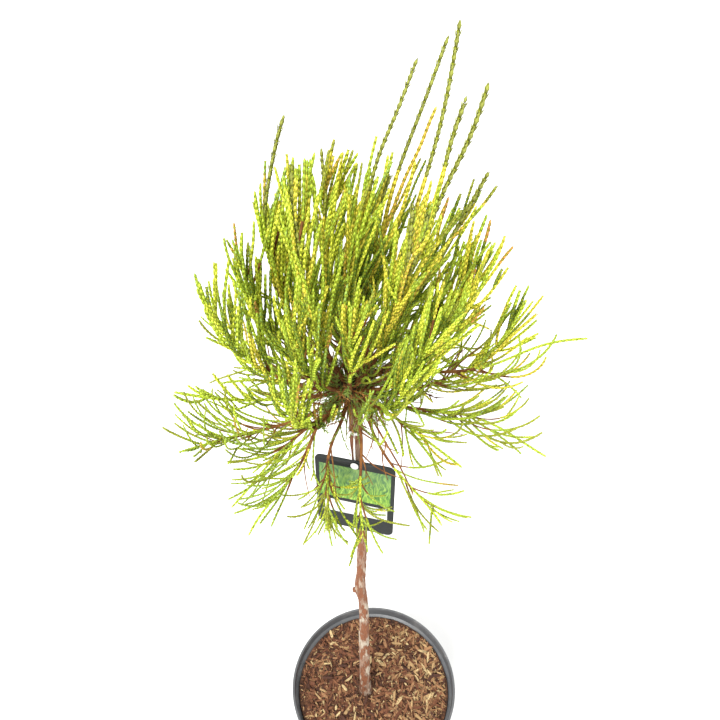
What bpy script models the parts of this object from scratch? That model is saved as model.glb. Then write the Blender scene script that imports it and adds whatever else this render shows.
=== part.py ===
# A thread-leaved oriental arborvitae, grafted high on a bare stem and grown in a nursery pot.
# Metres, +Z up. The origin is the middle of the pot's underside and the plant's front faces -Y.
# One object for each piece: the pot, its bark mulch, the trunk, the boughs, the masses of
# foliage, a dead twig, and the hanging plant label with its strap.

import math
import random
from collections import namedtuple

import bmesh
import bpy
import numpy as np
from mathutils import Matrix, Quaternion, Vector, noise

# Driving dimensions

GAP = 0.0003                  # between neighbouring solids
GOLDEN_ANGLE = math.radians(137.5)

POT_HEIGHT = 0.185
POT_RIM_RADIUS = 0.1125
POT_BASE_RADIUS = 0.084
POT_WALL = 0.0018
POT_FLOOR = 0.0025
POT_COLLAR_HEIGHT = 0.016     # upright band below the lip
POT_COLLAR_STEP = 0.0022      # how far that band stands out from the wall
POT_LIP = 0.0040              # width of the lip, seen from above
POT_EDGE = 0.0030             # rounding between underside and wall
POT_SIDES = 40
DRAIN_HOLES = 6
DRAIN_HOLE_RADIUS = 0.006
DRAIN_RING_RADIUS = 0.058
DRAIN_HOLE_SIDES = 10

MULCH_TOP = 0.1665            # level of the bark mulch round the stem
MULCH_HUMMOCK = 0.0016        # height of its unevenness
MULCH_FLAT_RADIUS = 0.018     # level ring round the stem's foot

TRUNK_SIDES = 12
TRUNK_FOOT = Vector((-0.011, -0.002, MULCH_TOP + GAP))
TRUNK_FOOT_RADIUS = 0.0098    # root flare at the mulch
TRUNK_LOW_RADIUS = 0.0072
TRUNK_RADIUS = 0.0054
GRAFT_RADIUS = 0.0063
HEAD = Vector((-0.027, 0.0, 0.712))   # the knuckle that every limb springs from
HEAD_RADIUS = 0.013
HEAD_RING_SLOPES = (-50, -25, 0, 25, 50, 72)   # latitudes of the knuckle's rings, in degrees
KNOT = Vector((-0.0190, -0.001, 0.409))        # root of the stub of a cut twig, on the left
KNOT_COURSE = Vector((-0.86, -0.35, 0.36))
KNOT_ROOT_RADIUS = 0.0038
KNOT_RADIUS = 0.0032
KNOT_LENGTH = 0.0085
KNOT_SIDES = 8

BOUGH_SIDES = 6
BOUGH_RADIUS = 0.0021
BOUGH_TIP_RADIUS = 0.0015
STEM_SIDES = 4
STEM_RADIUS = 0.0015
STEM_TIP_RADIUS = 0.0011
THREAD_SIDES = 3
THREAD_RADIUS = 0.0015
THREAD_ROOT_RADIUS = 0.0007   # sunk in the stem
THREAD_TIP_RADIUS = 0.0009
DEAD_TWIG_RADIUS = 0.0013
RING_SPACING = 0.034          # most between the rings of a limb
RING_BEND = 13                # most that a limb bends from ring to ring, in degrees
SPACE_MARGIN = 0.0036         # how much nearer a thread lies to its own limb than to the next
THREAD_CLEARANCE = 0.0036     # between two threads of one mass, past their roots
TRUNK_CLEARANCE = 0.012       # between a thread and the trunk's axis

LABEL_WIDTH = 0.079
LABEL_HEIGHT = 0.099
LABEL_THICKNESS = 0.0008
LABEL_CORNER = 0.007
LABEL_CENTRE = Vector((-0.024, -0.0145, 0.588))
LABEL_YAW = math.radians(-15)
LABEL_HOLE_RADIUS = 0.0026
LABEL_HOLE_DROP = 0.007       # hole's centre below the top edge
LABEL_CORNER_STEPS = 4
LABEL_FREE_EDGE = 0.004       # room that threads leave round the label
LABEL_FREE_FRONT = 0.006
LABEL_FREE_BACK = 0.020
STRAP_CENTRE = Vector((-0.0225, 0.0, 0.664))   # where the strap goes round the stem
STRAP_RING_RADIUS = 0.0072    # to the middle of its thickness
STRAP_WIDTH = 0.0034
STRAP_THICKNESS = 0.0010
STRAP_TAIL_RADIUS = 0.0008
STRAP_STUD_RADIUS = 0.0019
STRAP_BUTTON_RADIUS = 0.0040
STRAP_TAIL_BOW = 0.0012       # how far the tail bows forward

# Limbs. Each one is an arc in an upright plane: azimuth of the plane (0 is the right, 90 the
# back), slope at the knuckle and at the tip in degrees above the level, whole length, length
# of the bare bough before the foliage, count and length of the side threads, the share of the
# stem that carries them, and how strongly they turn up (above 0) or hang (below 0).
Limb = namedtuple("Limb", "place azimuth slope end_slope length bough threads thread leafy lift")

LIMBS = (
    Limb("whip_right", 31, 64, 82, 0.283, 0, 10, 0.100, 0.42, 0.9),
    Limb("whip_top", 49, 80, 53, 0.278, 0, 9, 0.100, 0.42, 0.9),
    Limb("whip_middle", 225, 84, 128, 0.260, 0, 10, 0.095, 0.55, 0.9),
    Limb("whip_far_right", 349, 68, 74, 0.258, 0, 12, 0.105, 0.5, 0.9),
    Limb("crown_back", 109, 53, 89, 0.194, 0, 14, 0.110, 0.8, 0.9),
    Limb("upper_right", 28, 48, 62, 0.201, 0, 14, 0.105, 0.7, 0.8),
    Limb("upper_left", 170, 46, 117, 0.239, 0, 14, 0.100, 0.62, 0.9),
    Limb("upper_front_left", 228, 60, 96, 0.212, 0, 14, 0.100, 0.8, 0.9),
    Limb("upper_front_right", 305, 54, 88, 0.200, 0, 14, 0.100, 0.62, 0.9),
    Limb("right_high", 5, 32, 73, 0.167, 0, 13, 0.090, 0.8, 0.8),
    Limb("back_right", 46, 32, 60, 0.172, 0, 13, 0.090, 0.8, 0.8),
    Limb("back", 88, 32, 68, 0.168, 0, 14, 0.090, 0.8, 0.8),
    Limb("back_left", 134, 34, 78, 0.160, 0, 13, 0.090, 0.8, 0.9),
    Limb("left_high", 188, 31, 100, 0.169, 0, 13, 0.085, 0.8, 0.9),
    Limb("left_fan", 212, 22, 85, 0.184, 0.034, 13, 0.085, 0.8, 0.9),
    Limb("front_left", 240, 34, 87, 0.152, 0, 13, 0.085, 0.8, 0.9),
    Limb("front", 271, 36, 94, 0.145, 0, 13, 0.085, 0.8, 0.9),
    Limb("front_right", 308, 29, 82, 0.160, 0, 13, 0.085, 0.8, 0.9),
    Limb("right_fan", 342, 30, 79, 0.168, 0.034, 13, 0.085, 0.8, 0.8),
    Limb("right_clump", 9, -18, 80, 0.180, 0.076, 12, 0.075, 0.8, 0.65),
    Limb("right_reach", 359, 13, 20, 0.191, 0.062, 10, 0.065, 0.45, 0.6),
    Limb("low_front_right", 300, 8, 99, 0.138, 0, 12, 0.070, 0.8, 0.9),
    Limb("low_front_left", 241, -10, 100, 0.136, 0, 12, 0.070, 0.8, 0.9),
    Limb("left_reach", 207, -19, 19, 0.144, 0.060, 12, 0.065, 0.8, 0.5),
    Limb("left_low", 188, -9, 22, 0.140, 0, 12, 0.070, 0.8, 0.7),
    Limb("back_low_left", 159, -1, 41, 0.138, 0.034, 12, 0.070, 0.8, 0.6),
    Limb("back_low", 98, 2, 40, 0.140, 0.036, 12, 0.072, 0.8, 0.6),
    Limb("back_low_right", 42, 4, 26, 0.150, 0.040, 12, 0.075, 0.8, 0.5),
    Limb("right_droop", 348, -6, -22, 0.170, 0.056, 11, 0.070, 0.8, 0.1),
    Limb("front_right_droop", 325, -10, -22, 0.105, 0.034, 11, 0.055, 0.8, -0.2),
    Limb("right_hang", 314, -45, -33, 0.132, 0.056, 9, 0.055, 0.8, -0.3),
    Limb("left_droop", 202, -37, -45, 0.149, 0.046, 11, 0.065, 0.8, -0.3),
    Limb("front_left_droop", 228, -26, -44, 0.140, 0.050, 11, 0.060, 0.8, -0.3),
    Limb("front_hang_left", 250, -36, -77, 0.123, 0.052, 9, 0.046, 0.8, -0.5),
    Limb("front_hang", 281, -38, -88, 0.134, 0.060, 9, 0.046, 0.8, -0.5),
    Limb("back_droop", 112, -22, -54, 0.130, 0.040, 12, 0.060, 0.8, -0.3),
)
DEAD_LIMBS = (
    Limb("dead_twig_front", 303, -14, -44, 0.094, 0.094, 0, 0, 0, 0),
)
SEED = 7
FIRST_THREAD = 0.13           # place of the first side thread, as a share of the stem
THREAD_TRIES = 8
THREAD_STEPS = 8              # steps in which a thread grows
THREAD_KEPT = (0, 2, 5, 8)    # the steps that give its mesh a ring
LEAVING_ANGLE = (32, 52)      # between stem and side thread at its root, in degrees
SPIN_JITTER = 0.5             # on the golden angle from thread to thread, in radians
TURNING_SPEED = 1.5           # above 1, a thread heads for its goal before it ends
OUTWARD_SHARE = 0.28          # how far a thread keeps leaning away from its stem
THREAD_LENGTHS = (0.8, 1.1)   # least and most, as shares of the limb's own value
ROOT_THREAD = 1.05            # share of that value near the stem's root
THREAD_DECLINE = 0.45         # how much of it is lost from root to tip
RETRY_DECLINE = 0.4           # how much of it is lost from the first try to the last
TIP_OVERRUN = 0.014           # how far a side thread may pass the stem's own tip
SPACE_SAMPLES = 40            # points of a limb that stand for it when spaces are shared out


# Making meshes and objects

def clear_scene():
    for old in list(bpy.context.scene.objects):
        bpy.data.objects.remove(old, do_unlink=True)


def surface(name, colour, roughness):
    """Return a material with one Principled BSDF."""
    material = bpy.data.materials.new(name)
    material.use_nodes = True
    shader = material.node_tree.nodes["Principled BSDF"]
    shader.inputs["Base Color"].default_value = (*colour, 1.0)
    shader.inputs["Roughness"].default_value = roughness
    shader.inputs["Metallic"].default_value = 0.0
    return material


def new_object(name, build_mesh, material, collection=None):
    """Return an object whose mesh is what build_mesh is, a filled bmesh."""
    bmesh.ops.recalc_face_normals(build_mesh, faces=build_mesh.faces)
    mesh = bpy.data.meshes.new(name)
    build_mesh.to_mesh(mesh)
    build_mesh.free()
    mesh.materials.append(material)
    mesh.shade_smooth()
    mesh.set_sharp_from_angle(angle=math.radians(40))
    piece = bpy.data.objects.new(name, mesh)
    (collection or bpy.context.scene.collection).objects.link(piece)
    return piece


def apply_modifiers(piece):
    """Replace the mesh by what its modifiers give."""
    depsgraph = bpy.context.evaluated_depsgraph_get()
    mesh = bpy.data.meshes.new_from_object(piece.evaluated_get(depsgraph))
    piece.modifiers.clear()
    piece.data = mesh


def combine(piece, operation, others):
    """Unite the piece with the objects of a collection, or cut them from it, then remove them."""
    step = piece.modifiers.new(operation, "BOOLEAN")
    step.operation = operation
    step.operand_type = "COLLECTION"
    step.collection = others
    step.solver = "EXACT"
    apply_modifiers(piece)
    for other in list(others.objects):
        bpy.data.objects.remove(other, do_unlink=True)
    bpy.data.collections.remove(others)


def helper_collection(name):
    group = bpy.data.collections.new(name)
    bpy.context.scene.collection.children.link(group)
    return group


def turned(profile, sides):
    """Return a bmesh of a closed profile of (radius, height) points turned round Z."""
    shape = bmesh.new()
    ring = [shape.verts.new((radius, 0.0, height)) for radius, height in profile]
    for first, second in zip(ring, ring[1:]):
        shape.edges.new((first, second))
    bmesh.ops.spin(shape, geom=shape.verts[:] + shape.edges[:], cent=(0, 0, 0), axis=(0, 0, 1),
                   angle=math.tau, steps=sides, use_merge=True)
    bmesh.ops.remove_doubles(shape, verts=shape.verts, dist=0.00001)
    return shape


def frames_along(points):
    """Return one rotation for each point, with Z along the path and no twist."""
    count = len(points)
    headings = [(points[min(i + 1, count - 1)] - points[max(i - 1, 0)]).normalized()
                for i in range(count)]
    turn = Vector((0, 0, 1)).rotation_difference(headings[0])
    turns = [turn]
    for before, after in zip(headings, headings[1:]):
        turn = before.rotation_difference(after) @ turn
        turns.append(turn)
    return turns


def tube(points, radii, sides, pointed=False):
    """Return a bmesh of a tube through the points. A pointed one narrows to its last point."""
    shape = bmesh.new()
    turns = frames_along(points)
    last = len(points) - 1 if pointed else len(points)
    rings = []
    for point, turn, radius in list(zip(points, turns, radii))[:last]:
        spots = [Vector((math.cos(math.tau * k / sides), math.sin(math.tau * k / sides), 0.0))
                 for k in range(sides)]
        rings.append([shape.verts.new(point + turn @ (spot * radius)) for spot in spots])
    for below, above in zip(rings, rings[1:]):
        for k in range(sides):
            after = (k + 1) % sides
            shape.faces.new((below[k], below[after], above[after], above[k]))
    shape.faces.new(list(reversed(rings[0])))
    if pointed:
        tip = shape.verts.new(points[-1])
        for k in range(sides):
            shape.faces.new((rings[-1][k], rings[-1][(k + 1) % sides], tip))
    else:
        shape.faces.new(rings[-1])
    return shape


# Pot and mulch

def pot_wall_radius(height):
    """Outer radius of the tapering wall at a height."""
    top = POT_RIM_RADIUS - POT_LIP / 2 - POT_COLLAR_STEP
    return POT_BASE_RADIUS + (top - POT_BASE_RADIUS) * height / POT_HEIGHT


def build_pot(material):
    collar_foot = POT_HEIGHT - POT_COLLAR_HEIGHT
    lip_foot = POT_HEIGHT - POT_WALL
    collar_radius = POT_RIM_RADIUS - POT_LIP / 2
    inner_collar = collar_radius - POT_WALL
    profile = [
        (0.0, 0.0),
        (POT_BASE_RADIUS - POT_EDGE, 0.0),
        (POT_BASE_RADIUS - POT_EDGE * 0.25, POT_EDGE * 0.3),
        (pot_wall_radius(POT_EDGE), POT_EDGE),
        (pot_wall_radius(collar_foot), collar_foot),
        (collar_radius, collar_foot + POT_COLLAR_STEP),
        (collar_radius, lip_foot - POT_WALL),
        (POT_RIM_RADIUS, lip_foot),
        (POT_RIM_RADIUS - POT_WALL / 2, POT_HEIGHT),
        (inner_collar, POT_HEIGHT - POT_WALL / 2),
        (inner_collar, collar_foot + POT_COLLAR_STEP + POT_WALL),
        (pot_wall_radius(collar_foot) - POT_WALL, collar_foot + POT_WALL / 2),
        (pot_wall_radius(POT_FLOOR) - POT_WALL, POT_FLOOR),
        (0.0, POT_FLOOR),
    ]
    pot = new_object("nursery_pot", turned(profile, POT_SIDES), material)
    cutters = helper_collection("drain_cutters")
    for k in range(DRAIN_HOLES):
        angle = math.tau * k / DRAIN_HOLES
        place = Vector((math.cos(angle), math.sin(angle), 0.0)) * DRAIN_RING_RADIUS
        drill = bmesh.new()
        bmesh.ops.create_cone(drill, cap_ends=True, segments=DRAIN_HOLE_SIDES,
                              radius1=DRAIN_HOLE_RADIUS, radius2=DRAIN_HOLE_RADIUS,
                              depth=POT_FLOOR * 4, matrix=Matrix.Translation(place))
        cutter = new_object("drain_cutter", drill, material, cutters)
        cutter.hide_render = True
        cutter.display_type = "WIRE"
    combine(pot, "DIFFERENCE", cutters)


def build_mulch(material):
    """The bark mulch and the mix below it, one plug 0.3 mm clear of the pot."""
    def side(height):
        return pot_wall_radius(height) - POT_WALL - GAP * 2

    floor = POT_FLOOR + GAP
    profile = [(0.0, floor), (side(floor), floor), (side(MULCH_TOP), MULCH_TOP)]
    rings = 5
    for k in range(1, rings):
        profile.append((side(MULCH_TOP) * (1 - k / rings), MULCH_TOP))
    profile.append((0.0, MULCH_TOP))
    shape = turned(profile, POT_SIDES)
    for corner in shape.verts:
        out = math.hypot(corner.co.x - TRUNK_FOOT.x, corner.co.y - TRUNK_FOOT.y)
        inside = side(MULCH_TOP) - math.hypot(corner.co.x, corner.co.y)
        if corner.co.z > MULCH_TOP / 2 and out > MULCH_FLAT_RADIUS and inside > GAP:
            corner.co.z += MULCH_HUMMOCK * noise.noise(corner.co * 60)
    new_object("bark_mulch", shape, material)


# Trunk

TRUNK_LINE = (                # centre and radius of the stem, from the foot to the graft
    (TRUNK_FOOT, TRUNK_FOOT_RADIUS),
    (TRUNK_FOOT + Vector((0.0, 0.0, 0.007)), TRUNK_FOOT_RADIUS * 0.86),
    (Vector((-0.0115, -0.002, 0.185)), TRUNK_LOW_RADIUS),
    (Vector((-0.0125, -0.001, 0.230)), TRUNK_LOW_RADIUS * 0.94),
    (Vector((-0.0140, 0.001, 0.294)), TRUNK_RADIUS * 1.18),
    (Vector((-0.0140, 0.001, 0.350)), TRUNK_RADIUS * 1.06),
    (Vector((-0.0155, 0.000, 0.390)), TRUNK_RADIUS * 1.06),
    (KNOT, TRUNK_RADIUS * 1.20),
    (Vector((-0.0182, 0.000, 0.432)), TRUNK_RADIUS * 1.02),
    (Vector((-0.0165, 0.001, 0.480)), TRUNK_RADIUS),
    (Vector((-0.0170, 0.002, 0.530)), TRUNK_RADIUS),
    (Vector((-0.0195, 0.001, 0.590)), TRUNK_RADIUS * 0.96),
    (Vector((-0.0225, 0.000, 0.645)), TRUNK_RADIUS * 0.98),
    (Vector((-0.0225, 0.000, 0.668)), GRAFT_RADIUS),
    (Vector((-0.0235, 0.000, 0.686)), GRAFT_RADIUS * 1.02),
)


def build_trunk(material):
    centres = [centre for centre, radius in TRUNK_LINE]
    radii = [radius for centre, radius in TRUNK_LINE]
    for slope in HEAD_RING_SLOPES:
        level = math.sin(math.radians(slope))
        centres.append(HEAD + Vector((0.0, 0.0, HEAD_RADIUS * level)))
        radii.append(HEAD_RADIUS * math.cos(math.radians(slope)))
    trunk = new_object("trunk", tube(centres, radii, TRUNK_SIDES), material)
    stub = helper_collection("knot_stub")
    points = [KNOT, KNOT + KNOT_COURSE * KNOT_LENGTH]
    knot = tube(points, [KNOT_ROOT_RADIUS, KNOT_RADIUS], KNOT_SIDES)
    new_object("knot", knot, material, stub)
    combine(trunk, "UNION", stub)


# Limbs

def direction(azimuth, slope):
    flat = math.cos(slope)
    return Vector((flat * math.cos(azimuth), flat * math.sin(azimuth), math.sin(slope)))


def limb_point(limb, reach):
    """Return the place on a limb's arc at a distance from its start on the knuckle's face."""
    azimuth = math.radians(limb.azimuth)
    start = math.radians(limb.slope)
    bend = math.radians(limb.end_slope - limb.slope)
    root = HEAD + direction(azimuth, start) * (HEAD_RADIUS + GAP)
    if abs(bend) < 0.01:
        return root + direction(azimuth, start) * reach
    here = start + bend * reach / limb.length
    out = limb.length * (math.sin(here) - math.sin(start)) / bend
    up = limb.length * (math.cos(start) - math.cos(here)) / bend
    return root + Vector((out * math.cos(azimuth), out * math.sin(azimuth), up))


def limb_heading(limb, reach):
    share = reach / limb.length
    slope = math.radians(limb.slope + (limb.end_slope - limb.slope) * share)
    return direction(math.radians(limb.azimuth), slope)


def limb_run(limb, start, end):
    """Return evenly spaced points of a limb between two distances."""
    bend = abs(limb.end_slope - limb.slope) * (end - start) / limb.length
    count = max(2, math.ceil((end - start) / RING_SPACING), math.ceil(bend / RING_BEND)) + 1
    return [limb_point(limb, start + (end - start) * k / (count - 1)) for k in range(count)]


def point_between(points, share):
    """Return the place at a share of the way along evenly spaced points."""
    place = share * (len(points) - 1)
    below = min(int(place), len(points) - 2)
    return points[below].lerp(points[below + 1], place - below)


def tapering(first, last, count):
    return [first + (last - first) * k / (count - 1) for k in range(count)]


def build_bough(name, limb, material, radius, tip_radius, pointed=False):
    points = limb_run(limb, 0.0, limb.bough)
    radii = tapering(radius, tip_radius, len(points))
    new_object(name, tube(points, radii, BOUGH_SIDES, pointed), material)


# Foliage

def limb_samples(limb):
    reaches = np.linspace(0.0, limb.length, SPACE_SAMPLES)
    return np.array([limb_point(limb, reach) for reach in reaches])


def nearest(points, others):
    """Distance of each point to the nearest one of the others."""
    apart = np.linalg.norm(points[:, None, :] - others[None, :, :], axis=2)
    return apart.min(axis=1)


def near_label(points):
    """Whether any of the points is close to the hanging label."""
    turn = Matrix.Rotation(LABEL_YAW, 4, "Z").inverted()
    for point in points:
        local = turn @ (Vector(point) - LABEL_CENTRE)
        beside = abs(local.x) < LABEL_WIDTH / 2 + LABEL_FREE_EDGE
        level = abs(local.z) < LABEL_HEIGHT / 2 + LABEL_FREE_EDGE
        if beside and level and -LABEL_FREE_FRONT < local.y < LABEL_FREE_BACK:
            return True
    return False


def thread_path(root, side, length, goal):
    """Return a thread's points: it leaves along side and turns toward its goal."""
    points = [root]
    for k in range(THREAD_STEPS):
        turn = min(1.0, TURNING_SPEED * (k + 0.5) / THREAD_STEPS)
        course = (side * (1 - turn) + goal * turn).normalized()
        points.append(points[-1] + course * (length / THREAD_STEPS))
    return points


def side_threads(limb, stem, rng, own, others, trunk):
    """Return the side threads of a mass as lists of points, each within the mass's own space."""
    stem_length = limb.length - limb.bough
    upward = Vector((0.0, 0.0, 1.0 if limb.lift > 0 else -1.0))
    kept = []
    placed = np.empty((0, 3))
    for k in range(limb.threads):
        share = FIRST_THREAD + (limb.leafy - FIRST_THREAD) * k / (limb.threads - 1)
        root = point_between(stem, share)
        heading = limb_heading(limb, limb.bough + stem_length * share)
        across = heading.orthogonal().normalized()
        for attempt in range(THREAD_TRIES):
            spin = GOLDEN_ANGLE * k + rng.uniform(-SPIN_JITTER, SPIN_JITTER)
            outward = Quaternion(heading, spin + math.tau * attempt / THREAD_TRIES) @ across
            leaving = math.radians(rng.uniform(*LEAVING_ANGLE))
            side = (heading * math.cos(leaving) + outward * math.sin(leaving)).normalized()
            goal = (heading * (1 - abs(limb.lift)) + upward * abs(limb.lift)
                    + outward * OUTWARD_SHARE).normalized()
            length = limb.thread * (ROOT_THREAD - THREAD_DECLINE * share)
            length = min(length * rng.uniform(*THREAD_LENGTHS),
                         stem_length * (1 - share) + TIP_OVERRUN)
            length *= 1 - RETRY_DECLINE * attempt / THREAD_TRIES
            path = thread_path(root, side, length, goal)
            free = np.array(path[2:])
            outer = np.array(path[4:])
            margin = nearest(free, others) - nearest(free, own)
            if margin.min() < SPACE_MARGIN or nearest(free, trunk).min() < TRUNK_CLEARANCE:
                continue
            if len(placed) and nearest(free, placed).min() < THREAD_CLEARANCE:
                continue
            if nearest(outer, own).min() < THREAD_CLEARANCE or near_label(path):
                continue
            placed = np.vstack([placed, free])
            kept.append([path[step] for step in THREAD_KEPT])
            break
    return kept


def build_mass(limb, rng, samples, trunk, material):
    """One mass: its stem, and the side threads fused on with their roots in the stem's core."""
    points = limb_run(limb, limb.bough + (GAP if limb.bough else 0.0), limb.length)
    radii = tapering(STEM_RADIUS, STEM_TIP_RADIUS, len(points))
    stem = new_object("foliage_" + limb.place, tube(points, radii, STEM_SIDES), material)
    own = samples[limb.place]
    others = np.vstack([samples[place] for place in samples if place != limb.place])
    threads = helper_collection("threads")
    thickness = [THREAD_ROOT_RADIUS, THREAD_RADIUS, THREAD_RADIUS, THREAD_TIP_RADIUS]
    for path in side_threads(limb, points, rng, own, others, trunk):
        new_object("thread", tube(path, thickness, THREAD_SIDES), material, threads)
    combine(stem, "UNION", threads)


# Label and strap

def build_label(material):
    shape = bmesh.new()
    corners = []
    for sign_x, sign_z, start in ((1, 1, 0), (-1, 1, 90), (-1, -1, 180), (1, -1, 270)):
        middle_x = sign_x * (LABEL_WIDTH / 2 - LABEL_CORNER)
        middle_z = sign_z * (LABEL_HEIGHT / 2 - LABEL_CORNER)
        for step in range(LABEL_CORNER_STEPS + 1):
            angle = math.radians(start + 90 * step / LABEL_CORNER_STEPS)
            corners.append(shape.verts.new((middle_x + LABEL_CORNER * math.cos(angle),
                                            LABEL_THICKNESS / 2,
                                            middle_z + LABEL_CORNER * math.sin(angle))))
    face = shape.faces.new(corners)
    pushed = bmesh.ops.extrude_face_region(shape, geom=[face])
    moved = [item for item in pushed["geom"] if isinstance(item, bmesh.types.BMVert)]
    bmesh.ops.translate(shape, verts=moved, vec=(0.0, -LABEL_THICKNESS, 0.0))
    card = new_object("plant_label", shape, material)
    cutters = helper_collection("label_cutter")
    drill = bmesh.new()
    lie_down = Matrix.Rotation(math.pi / 2, 4, "X")
    place = Matrix.Translation((0.0, 0.0, LABEL_HEIGHT / 2 - LABEL_HOLE_DROP))
    bmesh.ops.create_cone(drill, cap_ends=True, segments=12, radius1=LABEL_HOLE_RADIUS,
                          radius2=LABEL_HOLE_RADIUS, depth=LABEL_THICKNESS * 8,
                          matrix=place @ lie_down)
    cutter = new_object("label_hole", drill, material, cutters)
    cutter.hide_render = True
    cutter.display_type = "WIRE"
    combine(card, "DIFFERENCE", cutters)
    card.location = LABEL_CENTRE
    card.rotation_euler = (0.0, 0.0, LABEL_YAW)


def build_strap(material):
    """The strap: a band round the stem, a tail down to the label, and a stud through its hole."""
    turn = Matrix.Rotation(LABEL_YAW, 3, "Z")
    front = turn @ Vector((0.0, -1.0, 0.0))
    hole = LABEL_CENTRE + Vector((0.0, 0.0, LABEL_HEIGHT / 2 - LABEL_HOLE_DROP))
    behind = hole - front * (LABEL_THICKNESS / 2 + GAP * 2 + STRAP_TAIL_RADIUS)
    half_wide, half_thick = STRAP_WIDTH / 2, STRAP_THICKNESS / 2
    ring = turned([(STRAP_RING_RADIUS - half_thick, half_wide),
                   (STRAP_RING_RADIUS + half_thick, half_wide),
                   (STRAP_RING_RADIUS + half_thick, -half_wide),
                   (STRAP_RING_RADIUS - half_thick, -half_wide),
                   (STRAP_RING_RADIUS - half_thick, half_wide)], 20)
    bmesh.ops.translate(ring, verts=ring.verts, vec=STRAP_CENTRE)
    strap = new_object("label_strap", ring, material)
    extras = helper_collection("strap_extras")
    start = STRAP_CENTRE + front * STRAP_RING_RADIUS
    foot = behind - Vector((0.0, 0.0, STRAP_TAIL_RADIUS))
    middle = start.lerp(foot, 0.55) + front * STRAP_TAIL_BOW
    tail = tube([start, middle, foot], [STRAP_TAIL_RADIUS] * 3, 6)
    new_object("tail", tail, material, extras)
    face = hole + front * (LABEL_THICKNESS / 2 + GAP)
    stud = tube([behind, face + front * half_thick], [STRAP_STUD_RADIUS] * 2, 10)
    new_object("stud", stud, material, extras)
    button = tube([face, face + front * STRAP_THICKNESS], [STRAP_BUTTON_RADIUS] * 2, 14)
    new_object("button", button, material, extras)
    combine(strap, "UNION", extras)


def main():
    clear_scene()
    plastic = surface("pot plastic", (0.035, 0.038, 0.042), 0.45)
    mulch = surface("bark mulch", (0.19, 0.085, 0.040), 0.9)
    bark = surface("stem bark", (0.34, 0.21, 0.12), 0.85)
    twig = surface("brown twig", (0.16, 0.07, 0.03), 0.8)
    green = surface("foliage", (0.40, 0.46, 0.04), 0.6)
    card = surface("label card", (0.03, 0.04, 0.04), 0.4)
    white = surface("strap plastic", (0.75, 0.75, 0.72), 0.4)
    build_pot(plastic)
    build_mulch(mulch)
    build_trunk(bark)
    build_label(card)
    build_strap(white)
    samples = {limb.place: limb_samples(limb) for limb in LIMBS + DEAD_LIMBS}
    trunk = np.array([centre.lerp(after, share) for (centre, _), (after, _)
                      in zip(TRUNK_LINE, TRUNK_LINE[1:]) for share in (0.0, 0.25, 0.5, 0.75)])
    rng = random.Random(SEED)
    for limb in LIMBS:
        if limb.bough:
            build_bough("bough_" + limb.place, limb, twig, BOUGH_RADIUS, BOUGH_TIP_RADIUS)
        build_mass(limb, rng, samples, trunk, green)
    for limb in DEAD_LIMBS:
        build_bough(limb.place, limb, twig, DEAD_TWIG_RADIUS, 0.0, True)


main()
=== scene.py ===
# %% [markdown]
# A thread-leaved oriental arborvitae. A whipcord form of the tree is grafted high on the bare
# stem of a stronger seedling, and the young tree stands in a round nursery pot that is topped
# up with chipped bark. The plain solids of pot, stem, limbs and label come ready made and at
# their real size. This lesson dresses them one after the other: pot, bark mulch, stem, limbs,
# the leafy threads with their scale leaves, and at last the hanging label.

# %% Load the plain solids
import math
import random
from collections import namedtuple

import bmesh
import bpy
import numpy as np
from mathutils import Matrix, Vector, noise


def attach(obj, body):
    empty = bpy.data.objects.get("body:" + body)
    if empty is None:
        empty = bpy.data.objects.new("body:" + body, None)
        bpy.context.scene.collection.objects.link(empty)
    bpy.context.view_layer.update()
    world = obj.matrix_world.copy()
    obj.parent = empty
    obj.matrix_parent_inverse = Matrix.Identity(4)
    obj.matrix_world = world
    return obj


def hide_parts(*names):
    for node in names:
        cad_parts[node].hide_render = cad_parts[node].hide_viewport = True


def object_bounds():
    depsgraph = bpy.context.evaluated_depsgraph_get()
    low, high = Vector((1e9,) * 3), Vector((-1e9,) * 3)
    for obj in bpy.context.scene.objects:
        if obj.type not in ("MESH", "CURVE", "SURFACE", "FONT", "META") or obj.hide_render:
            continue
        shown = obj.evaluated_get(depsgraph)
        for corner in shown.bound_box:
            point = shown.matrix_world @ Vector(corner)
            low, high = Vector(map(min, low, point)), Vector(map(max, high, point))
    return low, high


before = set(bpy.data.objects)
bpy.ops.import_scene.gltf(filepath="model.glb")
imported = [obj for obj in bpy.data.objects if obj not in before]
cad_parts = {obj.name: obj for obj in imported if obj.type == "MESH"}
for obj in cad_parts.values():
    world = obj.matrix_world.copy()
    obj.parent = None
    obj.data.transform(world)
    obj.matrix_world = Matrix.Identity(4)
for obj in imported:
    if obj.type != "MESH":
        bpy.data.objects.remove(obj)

cad_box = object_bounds()
print("solids", len(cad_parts), "box", [[round(x, 3) for x in corner] for corner in cad_box])

# %% [markdown]
# The camera stands a step away from the plant and a little above its crown, and looks down
# into the pot. A short lens spreads the crown and makes the pot small. Place and tilt follow
# from the ellipse that the pot's round rim draws in the picture.

# %% Camera
EYE = (-0.019, -0.422, 1.060)
LOOKING_DOWN = 36.84
LENS = 31.0
SENSOR = 36.0

camera = bpy.data.cameras.new("camera")
camera.lens = LENS
camera.sensor_width = SENSOR
camera.clip_start = 0.01
viewer = bpy.data.objects.new("camera", camera)
viewer.location = EYE
viewer.rotation_euler = (math.radians(90 - LOOKING_DOWN), 0.0, 0.0)
bpy.context.scene.collection.objects.link(viewer)
bpy.context.scene.camera = viewer
print("camera looks down by", LOOKING_DOWN, "degrees")

# %% [markdown]
# The studio is a wide pale floor under an even white sky, with one broad lamp from the upper
# left. A sun lamp with a large angle throws the same soft light everywhere, so the floor stays
# evenly pale right to the horizon. The plain view transform keeps the fresh yellow greens.

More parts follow.
